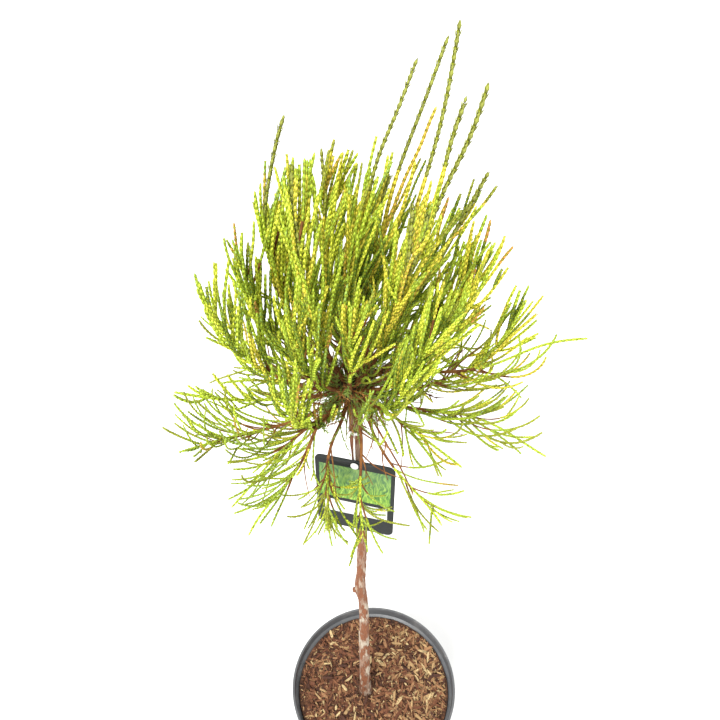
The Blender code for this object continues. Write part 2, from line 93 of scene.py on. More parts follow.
# %% Studio
FLOOR_HALF = 30.0
SKY_STRENGTH = 1.25
KEY_STRENGTH = 3.8
KEY_ANGLE = 24
KEY_TURN = (38, -24, 0)

floor_mesh = bpy.data.meshes.new("studio_floor")
corners = [(-FLOOR_HALF, -FLOOR_HALF, 0.0), (FLOOR_HALF, -FLOOR_HALF, 0.0),
           (FLOOR_HALF, FLOOR_HALF, 0.0), (-FLOOR_HALF, FLOOR_HALF, 0.0)]
floor_mesh.from_pydata(corners, [], [(0, 1, 2, 3)])
floor = bpy.data.objects.new("studio_floor", floor_mesh)
bpy.context.scene.collection.objects.link(floor)

sky = bpy.data.worlds.new("white sky")
sky.use_nodes = True
sky.node_tree.nodes["Background"].inputs["Color"].default_value = (1.0, 1.0, 1.0, 1.0)
sky.node_tree.nodes["Background"].inputs["Strength"].default_value = SKY_STRENGTH
bpy.context.scene.world = sky

key_light = bpy.data.lights.new("key", "SUN")
key_light.energy = KEY_STRENGTH
key_light.angle = math.radians(KEY_ANGLE)
key_lamp = bpy.data.objects.new("key", key_light)
key_lamp.rotation_euler = [math.radians(turn) for turn in KEY_TURN]
bpy.context.scene.collection.objects.link(key_lamp)
bpy.context.scene.view_settings.view_transform = "Standard"
print("studio with floor, sky and one soft lamp")

# %% [markdown]
# Every finish is a small sum of noises and colours. Wiring nodes by hand hides such sums, so
# one small class wraps a socket and lets Python's own signs add the Math nodes. Anything that
# isn't a plain sum goes through one method, which takes a node's type, its settings, and the
# values or wires of its sockets.

# %% Sums of sockets
class Wire:
    """One output of a material's nodes that can be used in sums."""

    def __init__(self, tree, socket=None):
        self.tree = tree
        self.socket = socket

    def node(self, kind, settings=None, sockets=None, output=0):
        made = self.tree.nodes.new(kind)
        for key, value in (settings or {}).items():
            if key == "stops":
                set_stops(made.color_ramp, value)
            else:
                setattr(made, key, value)
        for key, value in (sockets or {}).items():
            if isinstance(value, Wire):
                self.tree.links.new(value.socket, made.inputs[key])
            else:
                made.inputs[key].default_value = value
        return Wire(self.tree, made.outputs[output])

    def math(self, operation, first, second):
        return self.node("ShaderNodeMath", {"operation": operation}, {0: first, 1: second})

    def __add__(self, other):
        return self.math("ADD", self, other)

    def __sub__(self, other):
        return self.math("SUBTRACT", self, other)

    def __rsub__(self, other):
        return self.math("SUBTRACT", other, self)

    def __mul__(self, other):
        return self.math("MULTIPLY", self, other)

    def __gt__(self, other):
        return self.math("GREATER_THAN", self, other)

    __radd__ = __add__
    __rmul__ = __mul__


def set_stops(ramp, stops):
    """Give a ramp its stops, as pairs of place and colour."""
    while len(ramp.elements) > 1:
        ramp.elements.remove(ramp.elements[-1])
    ramp.elements[0].position = stops[0][0]
    ramp.elements[0].color = (*stops[0][1], 1.0)
    for place, colour in stops[1:]:
        ramp.elements.new(place).color = (*colour, 1.0)


def shade(colour, strength):
    """Return a colour that is darker or lighter by one factor."""
    return tuple(min(1.0, part * strength) for part in colour)


print("sockets can be added, subtracted and multiplied")

# %% [markdown]
# Most finishes here share a few words: a place on the piece, a noise, a soft step between two
# levels, a mix of two colours and a bump. The words are functions, so that each finish further
# down reads as a recipe.

# %% Words that the finishes share
def place_on(start):
    """Where a point lies on its own piece, in metres."""
    return start.node("ShaderNodeTexCoord", output="Object")


def stretched(place, x, y, z):
    return place.node("ShaderNodeMapping", {}, {"Vector": place, "Scale": (x, y, z)})


def noise_of(place, scale, detail=3.0, roughness=0.55):
    return place.node("ShaderNodeTexNoise", {},
                      {"Vector": place, "Scale": scale, "Detail": detail, "Roughness": roughness})


def cells_of(place, scale, feature="F1"):
    return place.node("ShaderNodeTexVoronoi", {"feature": feature},
                      {"Vector": place, "Scale": scale}, "Distance")


def step_between(value, low, high):
    """Rise smoothly from 0 to 1 while a value goes from low to high."""
    return value.node("ShaderNodeMapRange", {"interpolation_type": "SMOOTHSTEP"},
                      {"Value": value, "From Min": low, "From Max": high})


def mixed(factor, first, second):
    """Blend two colours, plain ones or wires, by a wire from 0 to 1."""
    ends = [end if isinstance(end, Wire) else (*end, 1.0) for end in (first, second)]
    return factor.node("ShaderNodeMix", {"data_type": "RGBA"},
                       {0: factor, 6: ends[0], 7: ends[1]}, 2)


def ramped(value, stops):
    return value.node("ShaderNodeValToRGB", {"stops": stops}, {"Fac": value})


def new_finish(name, recipe, roughness=0.6, gloss=0.5):
    """Make a material. The recipe gets a wire and returns base colour, roughness and bump."""
    material = bpy.data.materials.new(name)
    material.use_nodes = True
    shader = material.node_tree.nodes["Principled BSDF"]
    shader.inputs["Roughness"].default_value = roughness
    shader.inputs["Specular IOR Level"].default_value = gloss
    start = Wire(material.node_tree)
    colour, rough, height, depth = recipe(start)
    material.node_tree.links.new(colour.socket, shader.inputs["Base Color"])
    if rough is not None:
        material.node_tree.links.new(rough.socket, shader.inputs["Roughness"])
    if height is not None:
        bump = start.node("ShaderNodeBump", {}, {"Height": height, "Distance": depth})
        material.node_tree.links.new(bump.socket, shader.inputs["Normal"])
    return material


def floor_recipe(start):
    tone = noise_of(place_on(start), 3.0)
    return mixed(tone, (0.86, 0.86, 0.85), (0.90, 0.90, 0.89)), None, None, 0.0


floor.data.materials.append(new_finish("pale floor", floor_recipe, 0.9))
print("finish:", floor.data.materials[0].name)

# %% [markdown]
# Two ways of making shapes serve the whole plant. A tube follows a path, with a radius at each
# of its points. A heap gathers the points and triangles of thousands of small shapes and turns
# them into one joined mesh, which is far quicker than one object for each leaf.

# %% Tubes and heaps
def unit(vectors):
    return vectors / np.linalg.norm(vectors, axis=-1, keepdims=True)


def frames_along(path):
    """Return arrays of headings, normals and sides along a path, with no twist."""
    headings = unit(np.gradient(path, axis=0))
    lightest = np.eye(3)[np.argmin(np.abs(headings[0]))]
    normals = np.empty_like(headings)
    normal = lightest
    for k, heading in enumerate(headings):
        normal = unit(normal - heading * normal.dot(heading))
        normals[k] = normal
    return headings, normals, np.cross(headings, normals)


def tube(path, radii, sides):
    """Return points and triangles of a closed tube."""
    headings, normals, across = frames_along(path)
    angles = math.tau * np.arange(sides) / sides
    spokes = (normals[:, None] * np.cos(angles)[None, :, None]
              + across[:, None] * np.sin(angles)[None, :, None])
    skin = path[:, None] + spokes * np.asarray(radii)[:, None, None]
    points = np.vstack([skin.reshape(-1, 3), path[:1], path[-1:]])
    row = np.arange(sides)
    after = (row + 1) % sides
    starts = np.arange(len(path) - 1)[:, None] * sides
    lower, lower_after = starts + row, starts + after
    upper, upper_after = lower + sides, lower_after + sides
    sheets = [np.stack([lower, lower_after, upper_after], axis=-1).reshape(-1, 3),
              np.stack([lower, upper_after, upper], axis=-1).reshape(-1, 3)]
    last = (len(path) - 1) * sides
    foot = np.full(sides, len(path) * sides)
    sheets.append(np.stack([foot, after, row], axis=-1))
    sheets.append(np.stack([foot + 1, last + row, last + after], axis=-1))
    return points, np.vstack(sheets)


class Heap:
    """Points and triangles of many small shapes that become one joined piece."""

    def __init__(self):
        self.points = []
        self.triangles = []
        self.count = 0

    def add(self, points, triangles):
        self.points.append(points)
        self.triangles.append(triangles + self.count)
        self.count += len(points)

    def piece(self, name, material, smooth=True):
        triangles = np.vstack(self.triangles)
        mesh = bpy.data.meshes.new(name)
        mesh.from_pydata(np.vstack(self.points).tolist(), [], triangles.tolist())
        if smooth:
            mesh.shade_smooth()
        mesh.materials.append(material)
        made = bpy.data.objects.new(name, mesh)
        bpy.context.scene.collection.objects.link(made)
        print(name, len(triangles), "triangles")
        return made


def settle(piece, slot, *nodes):
    """Let a piece ride on the plant and stand for its plain solids, which it hides. The slot is not used."""
    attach(piece, "root")
    if nodes:
        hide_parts(*nodes)


print("tubes and heaps are ready")

# %% [markdown]
# The pot is thin moulded plastic: a tapering wall, an upright collar with a rolled lip, a flat
# floor with drain holes. Turning a profile round the upright axis makes it, as a mould maker
# would, and six drills open the floor. The profile has the lip's rounding and the two moulded
# steps that the plain solid leaves out.

# %% Pot shape
POT_HEIGHT = 0.185
POT_RIM_RADIUS = 0.1125
POT_BASE_RADIUS = 0.084
POT_WALL = 0.0018
POT_FLOOR = 0.0025
POT_COLLAR_HEIGHT = 0.016
POT_COLLAR_STEP = 0.0022
POT_LIP = 0.0040
POT_SIDES = 160
DRAIN_HOLES = 6
DRAIN_HOLE_RADIUS = 0.006
DRAIN_RING_RADIUS = 0.058


def wall_radius(height):
    """Outer radius of the tapering wall at a height."""
    top = POT_RIM_RADIUS - POT_LIP / 2 - POT_COLLAR_STEP
    return POT_BASE_RADIUS + (top - POT_BASE_RADIUS) * height / POT_HEIGHT


def rounding(radius, height, size, first, last, steps=5):
    """Return profile points of a rounded corner with its centre at radius and height."""
    angles = [math.radians(first + (last - first) * k / (steps - 1)) for k in range(steps)]
    return [(radius + size * math.cos(a), height + size * math.sin(a)) for a in angles]


def pot_profile():
    collar_foot = POT_HEIGHT - POT_COLLAR_HEIGHT
    collar = POT_RIM_RADIUS - POT_LIP / 2
    half = POT_WALL / 2
    inner = collar - POT_WALL
    edge = 0.0012
    points = [(0.0, 0.0012), (POT_BASE_RADIUS * 0.86, 0.0012), (POT_BASE_RADIUS * 0.89, 0.0)]
    points += rounding(POT_BASE_RADIUS - edge, edge, edge, -90, -10)
    for height in (0.012, 0.0135):
        points.append((wall_radius(height) + (0.0 if height < 0.013 else 0.0004), height))
    points.append((wall_radius(collar_foot - 0.004) + 0.0004, collar_foot - 0.004))
    points.append((wall_radius(collar_foot - 0.003), collar_foot - 0.003))
    points.append((wall_radius(collar_foot), collar_foot))
    points += rounding(collar - half, collar_foot + POT_COLLAR_STEP, half, -60, 0, 4)
    points.append((collar, POT_HEIGHT - 3 * POT_WALL))
    points += rounding(POT_RIM_RADIUS - 0.0011, POT_HEIGHT - 0.0011, 0.0011, -70, 100, 8)
    points.append((inner + half, POT_HEIGHT - half / 2))
    points.append((inner, POT_HEIGHT - 2 * POT_WALL))
    points.append((inner, collar_foot + POT_COLLAR_STEP + POT_WALL))
    points.append((wall_radius(collar_foot) - POT_WALL, collar_foot + half))
    points.append((wall_radius(POT_FLOOR) - POT_WALL, POT_FLOOR))
    points.append((0.0, POT_FLOOR))
    return points


profile = pot_profile()
print("pot profile with", len(profile), "points")

# %% Turn the pot and drill its floor
def turned(points, sides):
    """Return a bmesh of a profile of radius and height turned round the upright axis."""
    shape = bmesh.new()
    ring = [shape.verts.new((radius, 0.0, height)) for radius, height in points]
    for first, second in zip(ring, ring[1:]):
        shape.edges.new((first, second))
    bmesh.ops.spin(shape, geom=shape.verts[:] + shape.edges[:], cent=(0, 0, 0), axis=(0, 0, 1),
                   angle=math.tau, steps=sides, use_merge=True)
    bmesh.ops.remove_doubles(shape, verts=shape.verts, dist=0.000001)
    bmesh.ops.recalc_face_normals(shape, faces=shape.faces)
    return shape


def from_bmesh(name, shape, material, sharp_angle=35):
    mesh = bpy.data.meshes.new(name)
    shape.to_mesh(mesh)
    shape.free()
    mesh.materials.append(material)
    mesh.shade_smooth()
    mesh.set_sharp_from_angle(angle=math.radians(sharp_angle))
    made = bpy.data.objects.new(name, mesh)
    bpy.context.scene.collection.objects.link(made)
    return made


def drill_out(piece, drills):
    """Cut the drills from a piece, keep the result as its mesh and remove them."""
    for drill in drills:
        cut = piece.modifiers.new("drill", "BOOLEAN")
        cut.operation = "DIFFERENCE"
        cut.object = drill
    view = bpy.context.evaluated_depsgraph_get()
    drilled = bpy.data.meshes.new_from_object(piece.evaluated_get(view))
    piece.modifiers.clear()
    piece.data = drilled
    for drill in drills:
        bpy.data.objects.remove(drill, do_unlink=True)


def pot_recipe(start):
    place = place_on(start)
    dust = step_between(noise_of(place, 38.0, 5.0, 0.65), 0.50, 0.72)
    scuffs = step_between(noise_of(stretched(place, 60, 60, 500), 1.0, 4.0), 0.60, 0.72)
    mottle = noise_of(place, 120.0, 2.0)
    plain = mixed(mottle, (0.075, 0.078, 0.082), (0.110, 0.112, 0.115))
    colour = mixed(dust * 0.45, plain, (0.21, 0.20, 0.185))
    colour = mixed(scuffs * 0.25, colour, (0.28, 0.275, 0.27))
    rough = dust * 0.25 + 0.38
    return colour, rough, noise_of(place, 900.0, 3.0), 0.00012


pot_finish = new_finish("moulded pot plastic", pot_recipe)
pot = from_bmesh("pot_shell", turned(profile, POT_SIDES), pot_finish)
drills = []
for k in range(DRAIN_HOLES):
    angle = math.tau * k / DRAIN_HOLES
    drill = bmesh.new()
    spot = Matrix.Translation((DRAIN_RING_RADIUS * math.cos(angle),
                               DRAIN_RING_RADIUS * math.sin(angle), 0.0))
    bmesh.ops.create_cone(drill, cap_ends=True, segments=32, radius1=DRAIN_HOLE_RADIUS,
                          radius2=DRAIN_HOLE_RADIUS, depth=POT_FLOOR * 4, matrix=spot)
    drills.append(from_bmesh("drill", drill, pot_finish))
drill_out(pot, drills)
settle(pot, "pot_plastic", "nursery_pot")
print("pot with", len(pot.data.polygons), "faces")

# %% [markdown]
# Chipped bark fills the pot almost to its collar. Below is a dark bed of crumbs, a height
# field over rings of points. On top lie a few thousand chips: flat irregular flakes, most of
# them a few millimetres long and some up to two centimetres, thrown on by a seeded rule and
# sorted into tints from dark brown to straw. The palest lie thicker on the right.

# %% Bed of the mulch
MULCH_TOP = 0.1665
MULCH_RADIUS = wall_radius(MULCH_TOP) - POT_WALL - 0.0006
HEAPED_AT_WALL = 0.0055       # how much higher the bark lies at the pot's wall
BED_RINGS = 70
BED_SPOKES = 180
STEM_FOOT = (-0.011, -0.002)


def bed_height(x, y):
    """Height of the bed's uneven top."""
    coarse = noise.noise(Vector((x * 55, y * 55, 0.3)))
    fine = noise.noise(Vector((x * 330, y * 330, 5.1)))
    heaped = HEAPED_AT_WALL * (math.hypot(x, y) / MULCH_RADIUS) ** 4
    return MULCH_TOP + 0.0008 + heaped + 0.0016 * coarse + 0.0009 * fine


def bed_of_crumbs():
    points, rings = [], []
    for ring in range(1, BED_RINGS + 1):
        radius = MULCH_RADIUS * ring / BED_RINGS
        for k in range(BED_SPOKES):
            x = radius * math.cos(math.tau * k / BED_SPOKES)
            y = radius * math.sin(math.tau * k / BED_SPOKES)
            points.append((x, y, bed_height(x, y)))
    shape = bmesh.new()
    corners = [shape.verts.new(point) for point in points]
    middle = shape.verts.new((0.0, 0.0, bed_height(0.0, 0.0)))
    rings = [corners[k * BED_SPOKES:(k + 1) * BED_SPOKES] for k in range(BED_RINGS)]
    lip = [shape.verts.new((v.co.x, v.co.y, v.co.z - 0.012)) for v in rings[-1]]
    below = shape.verts.new((0.0, 0.0, MULCH_TOP - 0.012))
    for inner, outer in zip(rings + [], rings[1:] + [lip]):
        for k in range(BED_SPOKES):
            after = (k + 1) % BED_SPOKES
            shape.faces.new((inner[k], outer[k], outer[after], inner[after]))
    for k in range(BED_SPOKES):
        after = (k + 1) % BED_SPOKES
        shape.faces.new((middle, rings[0][k], rings[0][after]))
        shape.faces.new((below, lip[after], lip[k]))
    return shape


def bed_recipe(start):
    place = place_on(start)
    crumbs = cells_of(place, 420.0)
    tone = noise_of(place, 160.0, 4.0, 0.7)
    colour = ramped(tone, [(0.30, (0.020, 0.008, 0.004)), (0.50, (0.070, 0.028, 0.012)),
                           (0.62, (0.150, 0.062, 0.028)), (0.75, (0.260, 0.130, 0.062))])
    return colour, None, crumbs + noise_of(place, 1200.0), 0.0009


bed = from_bmesh("mulch_bed", bed_of_crumbs(), new_finish("bark crumbs", bed_recipe, 0.95), 180)
settle(bed, "mulch", "bark_mulch")

# %% Bark chips
CHIP_TINTS = {                # base colour and share of the chips
    "umber": ((0.065, 0.021, 0.008), 0.18),
    "russet": ((0.130, 0.043, 0.016), 0.28),
    "chestnut": ((0.200, 0.078, 0.031), 0.24),
    "tan": ((0.300, 0.150, 0.064), 0.16),
    "straw": ((0.430, 0.270, 0.120), 0.10),
    "pale": ((0.560, 0.410, 0.200), 0.04),
}
CHIPS = 7400
CHIP_CORNERS = 6
CHIP_LENGTHS = (0.0018, 0.0180)


def chip_recipe(colour):
    def recipe(start):
        place = place_on(start)
        grain = noise_of(stretched(place, 700, 2600, 2600), 1.0, 4.0, 0.6)
        blotch = noise_of(place, 240.0, 2.0)
        body = mixed(step_between(grain, 0.35, 0.65), shade(colour, 0.62), shade(colour, 1.22))
        body = mixed(step_between(blotch, 0.52, 0.70), body, shade(colour, 0.45))
        return body, None, grain, 0.0004
    return recipe


def chip(rng):
    """Return the points of one flat chip, lying along X, with a ragged outline."""
    span = rng.random() ** 3.4
    length = CHIP_LENGTHS[0] + (CHIP_LENGTHS[1] - CHIP_LENGTHS[0]) * span
    width = length * rng.uniform(0.18, 0.46) * (1 - 0.35 * span)
    thick = min(0.0022, max(0.0005, width * rng.uniform(0.18, 0.45)))
    bow = rng.uniform(-0.12, 0.12) * length
    points = []
    for level in (-0.5, 0.5):
        for k in range(CHIP_CORNERS):
            angle = math.tau * (k + rng.uniform(-0.22, 0.22)) / CHIP_CORNERS
            reach = rng.uniform(0.75, 1.15)
            x = length / 2 * reach * math.cos(angle)
            y = width / 2 * reach * math.sin(angle)
            points.append((x, y, thick * level * rng.uniform(0.6, 1.2) + bow * (2 * x / length) ** 2))
    return np.array(points), thick


def chip_triangles():
    ring = range(CHIP_CORNERS)
    top = [(CHIP_CORNERS, CHIP_CORNERS + k, CHIP_CORNERS + k + 1) for k in ring if 0 < k < CHIP_CORNERS - 1]
    bottom = [(0, k + 1, k) for k in ring if 0 < k < CHIP_CORNERS - 1]
    sides = []
    for k in ring:
        after = (k + 1) % CHIP_CORNERS
        sides.append((k, after, after + CHIP_CORNERS))
        sides.append((k, after + CHIP_CORNERS, k + CHIP_CORNERS))
    return np.array(top + bottom + sides)


rng = random.Random(31)
chip_faces = chip_triangles()
chip_heaps = {tint: Heap() for tint in CHIP_TINTS}
for number in range(CHIPS):
    points, thick = chip(rng)
    reach = points[:, 0].max()
    out = math.sqrt(rng.random()) * (MULCH_RADIUS - 0.7 * reach - 0.0008)
    angle = rng.uniform(0, math.tau)
    x, y = out * math.cos(angle), out * math.sin(angle)
    tilt = rng.gauss(0, 0.16) + (0.0 if reach > 0.004 else rng.gauss(0, 0.35))
    turn = (Matrix.Rotation(rng.uniform(0, math.tau), 3, "Z") @ Matrix.Rotation(tilt, 3, "Y")
            @ Matrix.Rotation(rng.gauss(0, 0.3), 3, "X"))
    lie = bed_height(x, y) + thick * 0.5 + rng.random() ** 2 * 0.0034
    lean_to_straw = 1.0 + 14.0 * max(0.0, x)
    weights = [share * (lean_to_straw ** 2 if tint in ("straw", "pale", "tan") else 1.0)
               for tint, (colour, share) in CHIP_TINTS.items()]
    tint = rng.choices(list(CHIP_TINTS), weights)[0]
    if math.hypot(x - STEM_FOOT[0], y - STEM_FOOT[1]) < 0.011 + reach * 0.6:
        continue
    chip_heaps[tint].add(points @ np.array(turn).T + np.array((x, y, lie)), chip_faces)
for tint, heap in chip_heaps.items():
    finish = new_finish("bark chip " + tint, chip_recipe(CHIP_TINTS[tint][0]), 0.85)
    settle(heap.piece("chips_" + tint, finish, smooth=False), "mulch", "bark_mulch")

# %% [markdown]
# The stem is young wood in thin bark: reddish brown, flaking, with silver grey flakes that
# stand off, rougher at the foot, with the stub of a cut twig on the left and a reddish swollen
# graft under the knuckle from which every limb springs. It is one tube of fine rings whose
# points are pushed in and out by noise, so the relief is real and shows in the outline.

# %% Stem with its bark relief
GAP = 0.0003
HEAD = np.array((-0.027, 0.0, 0.712))
HEAD_RADIUS = 0.013
KNOT = np.array((-0.0190, -0.001, 0.409))
KNOT_COURSE = np.array((-0.86, -0.35, 0.36))
STEM_LINE = (                 # height, place across and radius, from the foot to the knuckle
    (0.1668, -0.0110, -0.002, 0.0098),
    (0.1738, -0.0110, -0.002, 0.0084),
    (0.1850, -0.0115, -0.002, 0.0072),
    (0.2300, -0.0125, -0.001, 0.0068),
    (0.2940, -0.0140, 0.001, 0.0064),
    (0.3500, -0.0140, 0.001, 0.0057),
    (0.3900, -0.0155, 0.000, 0.0057),
    (0.4090, -0.0190, -0.001, 0.0065),
    (0.4320, -0.0182, 0.000, 0.0055),
    (0.4800, -0.0165, 0.001, 0.0054),
    (0.5300, -0.0170, 0.002, 0.0054),
    (0.5900, -0.0195, 0.001, 0.0052),
    (0.6450, -0.0225, 0.000, 0.0053),
    (0.6680, -0.0225, 0.000, 0.0063),
    (0.6860, -0.0235, 0.000, 0.0064),
    (0.7020, -0.0270, 0.000, 0.0083),
    (0.7065, -0.0270, 0.000, 0.0118),
    (0.7120, -0.0270, 0.000, 0.0130),
    (0.7175, -0.0270, 0.000, 0.0118),
    (0.7220, -0.0270, 0.000, 0.0084),
    (0.7244, -0.0270, 0.000, 0.0040),
)
STEM_RINGS = 420
STEM_SIDES = 72


def smooth_between(heights, columns):
    """Return values between the rows of a table, softened so that no kink is left."""
    rows = np.array(columns)
    fine = np.interp(heights, rows[:, 0], rows[:, 1])
    for _ in range(6):
        fine[1:-1] = (fine[:-2] + 2 * fine[1:-1] + fine[2:]) / 4
    return fine


def bark_relief(point, height):
    """How far the bark stands out at a place of the stem, in metres."""
    x, y, z = point
    swell = noise.noise(Vector((x * 90, y * 90, z * 35))) * 0.00045
    fissure = abs(noise.noise(Vector((x * 330, y * 330, z * 48))))
    flakes = noise.noise(Vector((x * 190 + 7, y * 190, z * 95)))
    edge = min(1.0, max(0.0, (flakes - 0.02) / 0.10))
    rough = 1.0 + 0.9 * max(0.0, 1 - (height - 0.165) / 0.10)
    relief = swell + rough * (0.00038 * edge - 0.00075 * max(0.0, 0.16 - fissure) / 0.16)
    knobs = noise.noise(Vector((x * 230, y * 230, z * 230)))
    at_head = min(1.0, max(0.0, (height - 0.694) / 0.008))
    return relief * (1 - at_head) + at_head * 0.0022 * knobs


heights = np.linspace(STEM_LINE[0][0], STEM_LINE[-1][0], STEM_RINGS)
middles = np.stack([smooth_between(heights, [(row[0], row[1]) for row in STEM_LINE]),
                    smooth_between(heights, [(row[0], row[2]) for row in STEM_LINE]),
                    heights], axis=1)
radii = smooth_between(heights, [(row[0], row[3]) for row in STEM_LINE])
stem_points, stem_faces = tube(middles, radii, STEM_SIDES)
for index in range(STEM_RINGS * STEM_SIDES):
    middle = middles[index // STEM_SIDES]
    outward = unit(stem_points[index] - middle)
    stem_points[index] += outward * bark_relief(stem_points[index], middle[2])
stem_heap = Heap()
stem_heap.add(stem_points, stem_faces)
stub_path = KNOT + np.outer(np.linspace(0.0, 0.0085, 8), KNOT_COURSE)
stub_points, stub_faces = tube(stub_path, np.linspace(0.0040, 0.0031, 8), 24)
for index in range(len(stub_points) - 2):
    stub_points[index] += 0.0004 * noise.noise(Vector(stub_points[index] * 500)) * KNOT_COURSE
stem_heap.add(stub_points, stub_faces)


def bark_recipe(start):
    place = place_on(start)
    tall = stretched(place, 1, 1, 0.30)
    flakes = step_between(noise_of(tall, 170.0, 4.0, 0.6), 0.46, 0.56)
    silver = step_between(noise_of(tall, 70.0, 3.0, 0.6), 0.50, 0.60)
    lines = noise_of(stretched(place, 1, 1, 0.12), 900.0, 4.0, 0.65)
    inner = mixed(lines, (0.085, 0.024, 0.008), (0.300, 0.112, 0.046))
    outer = mixed(lines, (0.250, 0.190, 0.130), (0.560, 0.490, 0.390))
    bark = mixed(flakes * (0.35 + 0.65 * silver), inner, outer)
    height = place.node("ShaderNodeSeparateXYZ", {}, {0: place}, "Z")
    graft = step_between(height, 0.655, 0.690)
    head = step_between(height, 0.696, 0.708)
    bark = mixed(graft * 0.8, bark, mixed(lines, (0.130, 0.040, 0.014), (0.330, 0.140, 0.056)))
    bark = mixed(head, bark, mixed(lines, (0.022, 0.013, 0.004), (0.080, 0.046, 0.016)))
    dirt = (1 - step_between(height, 0.168, 0.200)) * noise_of(place, 260.0)
    bark = mixed(dirt, bark, (0.120, 0.055, 0.026))
    return bark, None, lines + flakes, 0.0006


settle(stem_heap.piece("stem_bark_relief", new_finish("flaking bark", bark_recipe, 0.85)),
       "stem_bark", "trunk")

# %% [markdown]
# Every limb is an arc in an upright plane: it leaves the knuckle at one slope and ends at
# another. The upper ones rise, some as long whips, the middle ones sweep out and up, and the
# lowest hang. The rows below are those of the plain solids, so every limb keeps its place and
# its reach, and the rule of growth further down is theirs too, carried to finer twigs.

# %% The limbs
Limb = namedtuple("Limb", "place azimuth slope end_slope length bough threads thread leafy lift")
LIMBS = (
    Limb("whip_right", 31, 64, 82, 0.283, 0, 10, 0.100, 0.42, 0.9),
    Limb("whip_top", 49, 80, 53, 0.278, 0, 9, 0.100, 0.42, 0.9),
    Limb("whip_middle", 225, 84, 128, 0.260, 0, 10, 0.095, 0.55, 0.9),
    Limb("whip_far_right", 349, 68, 74, 0.258, 0, 12, 0.105, 0.5, 0.9),
    Limb("crown_back", 109, 53, 89, 0.194, 0, 14, 0.110, 0.8, 0.9),
    Limb("upper_right", 28, 48, 62, 0.201, 0, 14, 0.105, 0.7, 0.8),
    Limb("upper_left", 170, 46, 117, 0.239, 0, 14, 0.100, 0.62, 0.9),
    Limb("upper_front_left", 228, 60, 96, 0.212, 0, 14, 0.100, 0.8, 0.9),
    Limb("upper_front_right", 305, 54, 88, 0.200, 0, 14, 0.100, 0.62, 0.9),
    Limb("right_high", 5, 32, 73, 0.167, 0, 13, 0.090, 0.8, 0.8),
    Limb("back_right", 46, 32, 60, 0.172, 0, 13, 0.090, 0.8, 0.8),
    Limb("back", 88, 32, 68, 0.168, 0, 14, 0.090, 0.8, 0.8),
    Limb("back_left", 134, 34, 78, 0.160, 0, 13, 0.090, 0.8, 0.9),
    Limb("left_high", 188, 31, 100, 0.169, 0, 13, 0.085, 0.8, 0.9),
    Limb("left_fan", 212, 22, 85, 0.184, 0.034, 13, 0.085, 0.8, 0.9),
    Limb("front_left", 240, 34, 87, 0.152, 0, 13, 0.085, 0.8, 0.9),
    Limb("front", 271, 36, 94, 0.145, 0, 13, 0.085, 0.8, 0.9),
    Limb("front_right", 308, 29, 82, 0.160, 0, 13, 0.085, 0.8, 0.9),
    Limb("right_fan", 342, 30, 79, 0.168, 0.034, 13, 0.085, 0.8, 0.8),
    Limb("right_clump", 9, -18, 80, 0.180, 0.076, 12, 0.075, 0.8, 0.65),
    Limb("right_reach", 359, 13, 20, 0.191, 0.062, 10, 0.065, 0.45, 0.6),
    Limb("low_front_right", 300, 8, 99, 0.138, 0, 12, 0.070, 0.8, 0.9),
    Limb("low_front_left", 241, -10, 100, 0.136, 0, 12, 0.070, 0.8, 0.9),
    Limb("left_reach", 207, -19, 19, 0.144, 0.060, 12, 0.065, 0.8, 0.5),
    Limb("left_low", 188, -9, 22, 0.140, 0, 12, 0.070, 0.8, 0.7),
    Limb("back_low_left", 159, -1, 41, 0.138, 0.034, 12, 0.070, 0.8, 0.6),
    Limb("back_low", 98, 2, 40, 0.140, 0.036, 12, 0.072, 0.8, 0.6),
    Limb("back_low_right", 42, 4, 26, 0.150, 0.040, 12, 0.075, 0.8, 0.5),
    Limb("right_droop", 348, -6, -22, 0.170, 0.056, 11, 0.070, 0.8, 0.1),
    Limb("front_right_droop", 325, -10, -22, 0.105, 0.034, 11, 0.055, 0.8, -0.2),
    Limb("right_hang", 314, -45, -33, 0.132, 0.056, 9, 0.055, 0.8, -0.3),
    Limb("left_droop", 202, -37, -45, 0.149, 0.046, 11, 0.065, 0.8, -0.3),
    Limb("front_left_droop", 228, -26, -44, 0.140, 0.050, 11, 0.060, 0.8, -0.3),
    Limb("front_hang_left", 250, -36, -77, 0.123, 0.052, 9, 0.046, 0.8, -0.5),
    Limb("front_hang", 281, -38, -88, 0.134, 0.060, 9, 0.046, 0.8, -0.5),
    Limb("back_droop", 112, -22, -54, 0.130, 0.040, 12, 0.060, 0.8, -0.3),
)
DEAD_LIMBS = (
    Limb("dead_twig_front", 303, -14, -44, 0.094, 0.094, 0, 0, 0, 0),
)


def direction(azimuth, slope):
    """Return unit vectors for angles in radians, single ones or arrays."""
    flat = np.cos(slope)
    return np.stack([flat * np.cos(azimuth), flat * np.sin(azimuth), np.sin(slope)], axis=-1)


def limb_points(limb, reaches):
    """Return the places on a limb's arc at distances from its start on the knuckle."""
    reaches = np.asarray(reaches, dtype=float)
    azimuth, start = math.radians(limb.azimuth), math.radians(limb.slope)
    bend = math.radians(limb.end_slope - limb.slope)
    here = start + bend * reaches / limb.length
    out = limb.length * (np.sin(here) - math.sin(start)) / bend
    up = limb.length * (math.cos(start) - np.cos(here)) / bend
    root = HEAD + direction(azimuth, start) * (HEAD_RADIUS + GAP)
    return root + np.stack([out * math.cos(azimuth), out * math.sin(azimuth), up], axis=-1)


def limb_heading(limb, reach):
    slope = math.radians(limb.slope + (limb.end_slope - limb.slope) * reach / limb.length)
    return direction(math.radians(limb.azimuth), slope)


print(len(LIMBS), "limbs, together", round(sum(limb.length for limb in LIMBS), 2), "m long")

